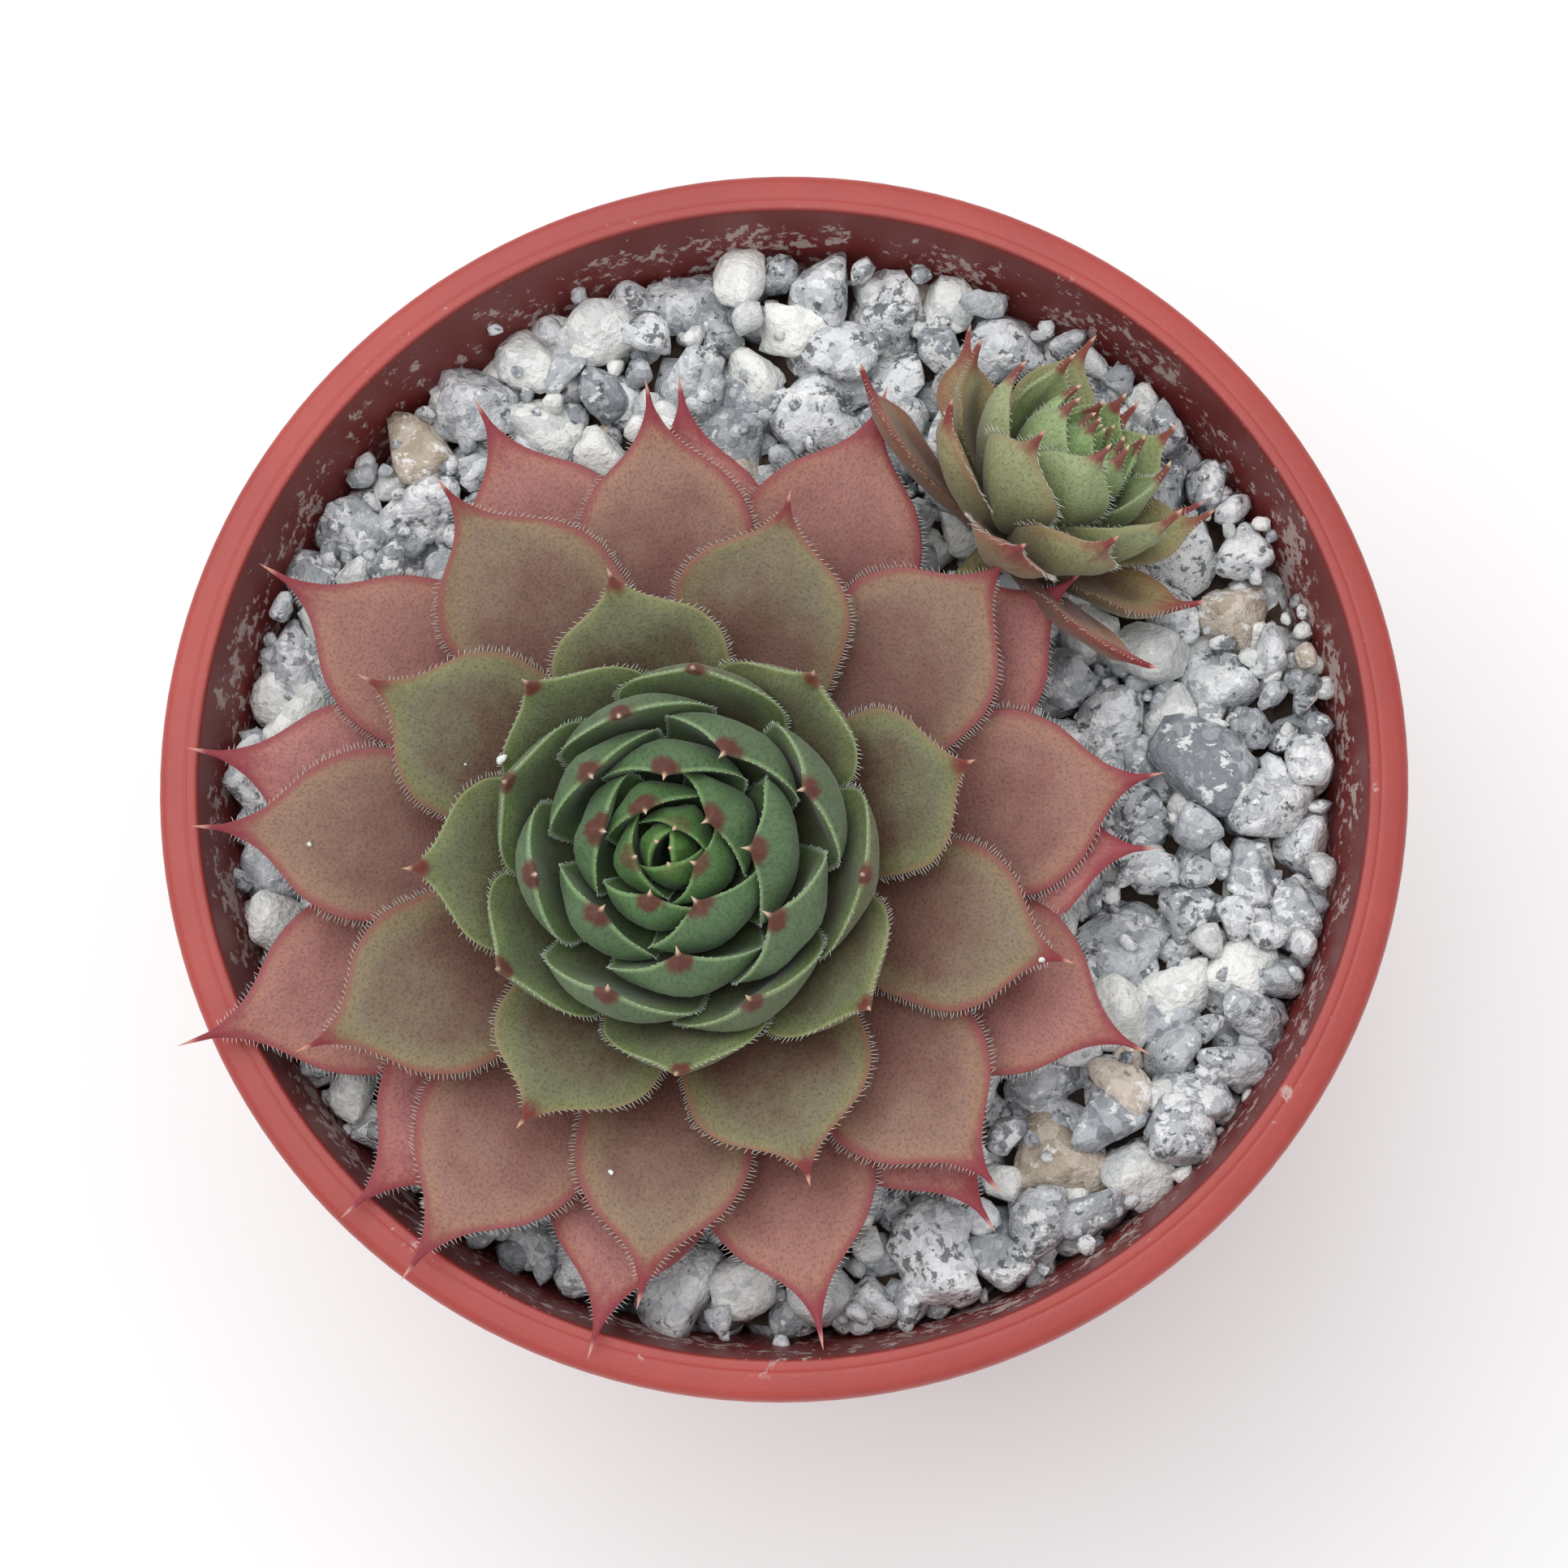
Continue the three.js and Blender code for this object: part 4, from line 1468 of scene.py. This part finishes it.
    def _top(self, x: float, y: float, draw: random.Random) -> float:
        """Draws how high a stone stands: lower under the leaves, more uneven in the open.

        Args:
            x: The stone's place.
            y: The stone's place.
            draw: The source of chance.

        Returns:
            The height of its top.
        """
        if math.hypot(x - MOTHER.foot[0], y - MOTHER.foot[1]) < self.shelter_radius:
            return self.level - self.shelter_drop + draw.uniform(-0.5, 0.2)
        return self.level + draw.uniform(-0.8, 0.7)

    def build(self) -> None:
        """Makes one piece for each kind of rock."""
        draw = random.Random(self.seed + 1)
        stones = self.plan()
        for rock in Rock:
            shape = bmesh.new()
            kind = [stone for stone in stones if stone.rock is rock]
            for first in range(0, len(kind), self.tray_size):
                tray = bmesh.new()
                tint = tray.verts.layers.float.new("tint")
                for stone in kind[first : first + self.tray_size]:
                    self._chip(tray, tint, stone, draw)
                mesh = mesh_of(tray, "tray")
                shape.from_mesh(mesh)
                bpy.data.meshes.remove(mesh)
            name = f"grit_{rock.value}"
            add_piece(name, shape, [self.finishes[rock]], ["grit_top_dressing"])

    def _chip(
        self,
        tray: bmesh.types.BMesh,
        tint: bmesh.types.BMLayerItem,
        stone: Stone,
        draw: random.Random,
    ) -> None:
        """Makes one crushed stone: a ball cut back by random planes, roughened and turned.

        Args:
            tray: The mesh that it joins.
            tint: The layer of the tone that its points carry.
            stone: Its place and size.
            draw: The source of chance.
        """
        levels = 3 if stone.detailed else 2
        verts = bmesh.ops.create_icosphere(tray, subdivisions=levels, radius=1.0)["verts"]
        ways = np.array([vert.co for vert in verts])
        ways /= np.linalg.norm(ways, axis=1, keepdims=True)
        planes = np.array([self._way(draw, 1.0) for _ in range(self.facets)])
        planes /= np.linalg.norm(planes, axis=1, keepdims=True)
        depth = np.array([draw.uniform(*self.facet_depths) for _ in range(self.facets)])
        lean = np.clip(ways @ planes.T, 0.0, None) / depth
        crisp = self.crispness
        radius = ((lean**crisp).sum(axis=1) + self.core**crisp) ** (-1.0 / crisp)
        ripple = np.zeros(len(ways))
        for wave in self.ripples:
            axis = np.array(self._way(draw, wave))
            phase = draw.uniform(0.0, FULL_TURN)
            ripple += np.sin(ways @ axis + phase) * self.ripple_height / wave**0.4
        flat = np.array([1.0, draw.uniform(0.7, 1.0), draw.uniform(0.6, 0.9)])
        half = 0.5 * stone.size * (radius * (1.0 + ripple))[:, None] * ways * flat
        pitch = Matrix.Rotation(draw.uniform(-self.tilt, self.tilt), 3, "X")
        roll = Matrix.Rotation(draw.uniform(-self.tilt, self.tilt), 3, "Y")
        yaw = Matrix.Rotation(draw.uniform(0.0, FULL_TURN), 3, "Z")
        half = half @ np.array(pitch @ roll @ yaw).T
        centre = np.array([stone.x, stone.y, stone.top - half[:, 2].max()])
        tone = draw.random()
        for vert, point in zip(verts, (half + centre) * MM):
            vert.co = Vector(point)
            vert[tint] = tone

    @staticmethod
    def _way(draw: random.Random, size: float) -> list[float]:
        """Draws a direction in space, of about the size given."""
        return [draw.gauss(0.0, size) for _ in range(3)]


# ------------------------------------------------------------------------------ pot


@dataclass
class NurseryPot:
    """The moulded pot: a rim with a fine ridge, a hollow collar, a tapered wall and a foot.

    Sizes are in millimetres.

    Attributes:
        finish: The pot's material.
        lip_radius: Its inside radius at the lip.
        taper: How fast its wall narrows downwards.
        wall: How thick its wall is.
        groove_depth: How far under the rim's top the collar's hollow ends.
        collar_depth: How far the collar reaches down.
        collar_wall: How thick the collar is.
        collar_draft: How much narrower the collar is at its foot.
        ridge: How far out from the lip the ridge, its groove and the rim's flat start.
        ridge_depth: How deep the groove beside the ridge is.
        foot_outer: The foot ring's outside radius.
        foot_inner: The foot ring's inside radius.
        foot_height: How high the ring holds the base up.
        base_panel: How thick the base is.
        drain_holes: How many drain holes there are.
        drain_radius: Their radius.
        drain_circle: How far from the middle they are.
        drill_length: The length of the drill that cuts them.
        drill_sides: How many sides the drill has.
        steps: How many steps the outline is spun in.
        arc_steps: How many steps each rounded corner has.
        round_share: The most of a side that a rounded corner takes.
    """

    finish: bpy.types.Material
    lip_radius: float = LIP_RADIUS
    taper: float = WALL_TAPER
    wall: float = 1.0
    groove_depth: float = 1.3
    collar_depth: float = 8.0
    collar_wall: float = 0.8
    collar_draft: float = 0.3
    ridge: tuple[float, float, float] = (0.6, 0.72, 0.85)
    ridge_depth: float = 0.06
    foot_outer: float = 21.6
    foot_inner: float = 18.8
    foot_height: float = 1.6
    base_panel: float = 1.2
    drain_holes: int = 6
    drain_radius: float = 2.4
    drain_circle: float = 12.5
    drill_length: float = 12.0
    drill_sides: int = 40
    steps: int = 144
    arc_steps: int = 5
    round_share: float = 0.45

    def outline(self) -> list[tuple[float, float]]:
        """Draws the pot's section, from the middle of its underside to the middle of its floor.

        Returns:
            Radius and height pairs with every corner rounded.
        """
        low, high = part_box("pot")
        rim = 0.5 * (high[0] - low[0]) / MM
        top = high[2] / MM
        floor = self.foot_height + self.base_panel
        groove = top - self.groove_depth
        collar_foot = top - self.collar_depth
        collar = rim - self.collar_draft
        crest, dip, flat = (self.lip_radius + step for step in self.ridge)
        # Each corner's radius and height, and how far its rounding reaches.
        corners = [
            (self.foot_inner, self.foot_height, 0.3),
            (self.foot_inner + 0.3, 0.0, 0.3),
            (self.foot_outer, 0.0, 0.4),
            (self._inside(top, self.wall) + self.wall, self.wall, 0.4),
            (self._inside(top, groove) + self.wall, groove, 0.3),
            (rim - self.collar_wall, groove, 0.3),
            (collar - self.collar_wall, collar_foot, 0.2),
            (collar, collar_foot, 0.3),
            (rim, top - 0.1, 0.9),
            (flat, top - 0.02, 0.2),
            (dip, top - self.ridge_depth, 0.06),
            (crest, top, 0.12),
            (self.lip_radius + 0.05, top, 0.3),
            (self._inside(top, floor + self.wall), floor + self.wall, 0.6),
            (self._inside(top, floor) - self.wall, floor, 0.6),
        ]
        ends = [(0.0, self.foot_height), *(corner[:2] for corner in corners), (0.0, floor)]
        points = [ends[0]]
        for (x, y, reach), before, after in zip(corners, ends, ends[2:]):
            points.extend(self._rounded(before, (x, y), after, reach))
        points.append(ends[-1])
        return points

    def _inside(self, top: float, level: float) -> float:
        """The pot's inside radius at a level, when its rim is at the top given."""
        return self.lip_radius - self.taper * (top - level)

    def _rounded(
        self,
        before: tuple[float, float],
        corner: tuple[float, float],
        after: tuple[float, float],
        reach: float,
    ) -> list[tuple[float, float]]:
        """Rounds a corner.

        Args:
            before: The corner before it.
            corner: The corner.
            after: The corner after it.
            reach: How far from the corner the rounding starts and ends.

        Returns:
            The points of the curve.
        """
        here = Vector(corner)
        back, onward = Vector(before) - here, Vector(after) - here
        start = here + back.normalized() * min(reach, self.round_share * back.length)
        end = here + onward.normalized() * min(reach, self.round_share * onward.length)
        curve = []
        for step in range(self.arc_steps + 1):
            t = step / self.arc_steps
            point = start * (1 - t) ** 2 + here * (2 * t * (1 - t)) + end * t**2
            curve.append((point.x, point.y))
        return curve

    def build(self) -> None:
        """Spins the outline round, then drills the drain holes."""
        shape = bmesh.new()
        verts = [shape.verts.new((x * MM, 0.0, z * MM)) for x, z in self.outline()]
        edges = [shape.edges.new(pair) for pair in zip(verts, verts[1:])]
        bmesh.ops.spin(
            shape,
            geom=verts + edges,
            cent=(0.0, 0.0, 0.0),
            axis=(0.0, 0.0, 1.0),
            angle=FULL_TURN,
            steps=self.steps,
            use_merge=True,
        )
        bmesh.ops.remove_doubles(shape, verts=shape.verts, dist=0.001 * MM)
        bmesh.ops.recalc_face_normals(shape, faces=shape.faces)
        piece = add_piece("nursery_pot", shape, [self.finish], ["pot"])
        self._drill(piece)

    def _drill(self, piece: bpy.types.Object) -> None:
        """Cuts the drain holes out of the pot's base.

        Args:
            piece: The pot.
        """
        drills = bmesh.new()
        for number in range(self.drain_holes):
            angle = FULL_TURN * number / self.drain_holes
            place = Vector((math.cos(angle), math.sin(angle), 0.0)) * self.drain_circle * MM
            bmesh.ops.create_cone(
                drills,
                cap_ends=True,
                segments=self.drill_sides,
                radius1=self.drain_radius * MM,
                radius2=self.drain_radius * MM,
                depth=self.drill_length * MM,
                matrix=Matrix.Translation(place),
            )
        cutter = set_out("drills", mesh_of(drills, "drills"))
        cut = piece.modifiers.new("drain holes", "BOOLEAN")
        cut.operation = "DIFFERENCE"
        cut.solver = "EXACT"
        cut.object = cutter
        view = bpy.context.evaluated_depsgraph_get()
        drilled = bpy.data.meshes.new_from_object(piece.evaluated_get(view))
        piece.modifiers.clear()
        piece.data = drilled
        bpy.data.objects.remove(cutter)


# ------------------------------------------------------------------------------ studio


@dataclass(frozen=True)
class Studio:
    """The pale floor, the soft light and the camera above the plant.

    Attributes:
        distance: How far the camera is from what it aims at.
        tilt: How far it is from straight above, in degrees.
        azimuth: The side that it is on, in degrees.
        target: The x and y that it aims at, level with the pot's rim.
        lens: Its focal length in millimetres.
        near: The nearest distance that it sees.
        floor_size: Half the floor's width in metres.
        floor_drop: How far the floor lies below the pot's foot.
        floor_tones: The floor's two colours.
        sky_colour: The light from all round.
        sky: How strong that is.
        key_power: The lamp's power in watts.
        key_place: Where the lamp is, in metres.
        key_size: How broad it is.
    """

    distance: float = 185.0 * MM
    tilt: float = 11.5
    azimuth: float = -78.7
    target: tuple[float, float] = (0.24 * MM, -0.94 * MM)
    lens: float = 82.1
    near: float = 0.01
    floor_size: float = 1.5
    floor_drop: float = 0.05 * MM
    floor_tones: tuple[str, str] = ("f6f6f5", "fbfbfb")
    sky_colour: Colour = (0.97, 0.985, 1.0, 1.0)
    sky: float = 0.8
    key_power: float = 3.9
    key_place: tuple[float, float, float] = (-0.2, 0.22, 0.8)
    key_size: float = 0.8

    def build(self) -> None:
        """Makes the floor, the lights and the camera."""
        self._floor()
        self._light()
        self._camera()

    def _floor(self) -> None:
        """Lays the floor just under the pot's foot."""
        shape = bmesh.new()
        bmesh.ops.create_grid(shape, x_segments=2, y_segments=2, size=self.floor_size)
        bmesh.ops.translate(shape, verts=shape.verts, vec=(0.0, 0.0, -self.floor_drop))
        mesh = mesh_of(shape, "floor")
        material, bench, shader = new_material("pale floor")
        clouds = bench.noise(bench.place(), 30.0, detail=3.0)
        tone = bench.mix(clouds, *(linear(code) for code in self.floor_tones))
        bench.feed(shader, {"Base Color": tone, "Roughness": 0.9})
        mesh.materials.append(material)
        set_out("floor", mesh)

    def _light(self) -> None:
        """Sets an even pale sky and one broad soft lamp."""
        world = bpy.data.worlds.new("studio sky")
        world.use_nodes = True
        backdrop = world.node_tree.nodes["Background"]
        backdrop.inputs["Color"].default_value = self.sky_colour
        backdrop.inputs["Strength"].default_value = self.sky
        bpy.context.scene.world = world
        lamp = bpy.data.lights.new("key light", "AREA")
        lamp.size = self.key_size
        lamp.energy = self.key_power
        key = set_out("key light", lamp)
        key.location = self.key_place
        key.rotation_euler = (-Vector(self.key_place)).to_track_quat("-Z", "Y").to_euler()

    def _camera(self) -> None:
        """Looks down on the rim, with the pot's +Y at the top of the view."""
        aim = Vector((*self.target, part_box("pot")[1][2]))
        tilt, azimuth = math.radians(self.tilt), math.radians(self.azimuth)
        away = Vector(
            (math.sin(tilt) * math.cos(azimuth), math.sin(tilt) * math.sin(azimuth), math.cos(tilt))
        )
        right = (-away).cross(Vector((0.0, 1.0, 0.0))).normalized()
        turn = Matrix((right, away.cross(right), away)).transposed().to_4x4()
        lens = bpy.data.cameras.new("camera")
        lens.lens = self.lens
        lens.clip_start = self.near
        camera = set_out("camera", lens)
        camera.matrix_world = Matrix.Translation(aim + away * self.distance) @ turn
        bpy.context.scene.camera = camera


# ------------------------------------------------------------------------------ this object

MOTHER_SKIN = LeafFinish(
    name="mother leaf skin",
    lower_face=(
        (0.0, "8a4f49"), (0.2, "7e4c44"), (0.35, "6f4a3e"), (0.5, "5c4938"), (0.62, "4c4632"),
        (0.8, "415236"), (1.0, "3d5829"),
    ),
    upper_face=(
        (0.0, "ac6e6c"), (0.18, "9c6b62"), (0.3, "896e5d"), (0.42, "747058"), (0.52, "696f51"),
        (0.62, "545f41"), (0.8, "4b6140"), (1.0, "45692f"),
    ),
    back=(
        (0.0, "854a44"), (0.35, "7d5548"), (0.5, "686245"), (0.65, "566649"), (0.85, "4f6a46"),
        (1.0, "4c7436"),
    ),
    margin=(
        (0.0, "8d3742"), (0.33, "8c3d44"), (0.42, "8a644b"), (0.5, "8f9c68"), (0.7, "8ba378"),
        (1.0, "79a05c"),
    ),
    point=(
        (0.0, "8e323e"), (0.35, "832834"), (0.5, "6f2122"), (0.6, "5c1a17"), (0.8, "581719"),
        (1.0, "5c2620"),
    ),
)

OFFSET_SKIN = LeafFinish(
    name="offset leaf skin",
    lower_face=((0.0, "7e5548"), (0.3, "6f6248"), (0.6, "68714d"), (1.0, "587a42")),
    upper_face=((0.0, "956f57"), (0.2, "958a60"), (0.5, "8b966a"), (1.0, "709052")),
    back=((0.0, "845e4c"), (0.2, "8f8963"), (0.5, "8e986f"), (1.0, "76985b")),
    margin=((0.0, "8c4c42"), (0.3, "8e7a55"), (0.6, "9aab7c"), (1.0, "98b878")),
    point=((0.0, "842b31"), (0.5, "7b222b"), (1.0, "70272c")),
    tip_size=(2.4, 1.3),
)

HAIRS = HairFinish(
    name="leaf margin hairs",
    colours=((0.0, "f0dad5"), (0.4, "efe5da"), (0.7, "e8eedd"), (1.0, "e0ecd0")),
)

ROCKS = {
    Rock.GRANITE: RockFinish("speckled granite", "e6e8ea", "989ca1", "414447", 0.62, 1500.0),
    Rock.QUARTZ: RockFinish("pale quartz", "f6f6f1", "c6c9c8", "8d8f8b", 0.3, 1100.0, 0.5),
    Rock.SLATE: RockFinish("blue-grey stone", "c6cace", "7f848a", "44484c", 0.45, 1900.0, 0.66),
    Rock.SANDSTONE: RockFinish("tan stone", "e0d3c5", "ab9d8a", "82745f", 0.45, 1300.0, 0.72),
}

OLD_STEM = EarthFinish("old stem", "7d7448", "5a4a30", 500.0, 0.1 * MM, 0.7)
POTTING_MIX = EarthFinish("potting mix", "2b2019", "4a3a2c", 380.0, 0.6 * MM)

# Slot names for the open leaves, each with the first leaf that it holds.
MOTHER_SLOTS = ((0, "outer_leaf"), (16, "middle_leaf"), (29, "inner_leaf"))
OFFSET_SLOTS = ((0, "offset_leaf"),)


def main() -> None:
    """Builds the studio and the object, piece by piece."""
    logging.basicConfig(level=logging.INFO, format="%(message)s")
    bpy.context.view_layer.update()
    bpy.context.scene.view_settings.view_transform = "Standard"
    Studio().build()
    effects = SharedEffects()

    pot_finish = PotFinish(rim_height=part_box("pot")[1][2])
    NurseryPot(pot_finish.make(effects)).build()
    GritBed({rock: look.make(effects) for rock, look in ROCKS.items()}).build()

    hairs = HAIRS.make()
    RosetteBuilder(MOTHER, [MOTHER_SKIN.make(), hairs], MOTHER_SLOTS).build()
    RosetteBuilder(OFFSET, [OFFSET_SKIN.make(), hairs], OFFSET_SLOTS).build()

    stem, mix = OLD_STEM.make(effects), POTTING_MIX.make(effects)
    for node, finish in (("main_stem", stem), ("offset_stem", stem), ("potting_mix", mix)):
        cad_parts[node].data.materials.clear()
        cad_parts[node].data.materials.append(finish)
        LOG.info("%s keeps its CAD shape in %s", node, finish.name)


if __name__ == "__main__":
    main()
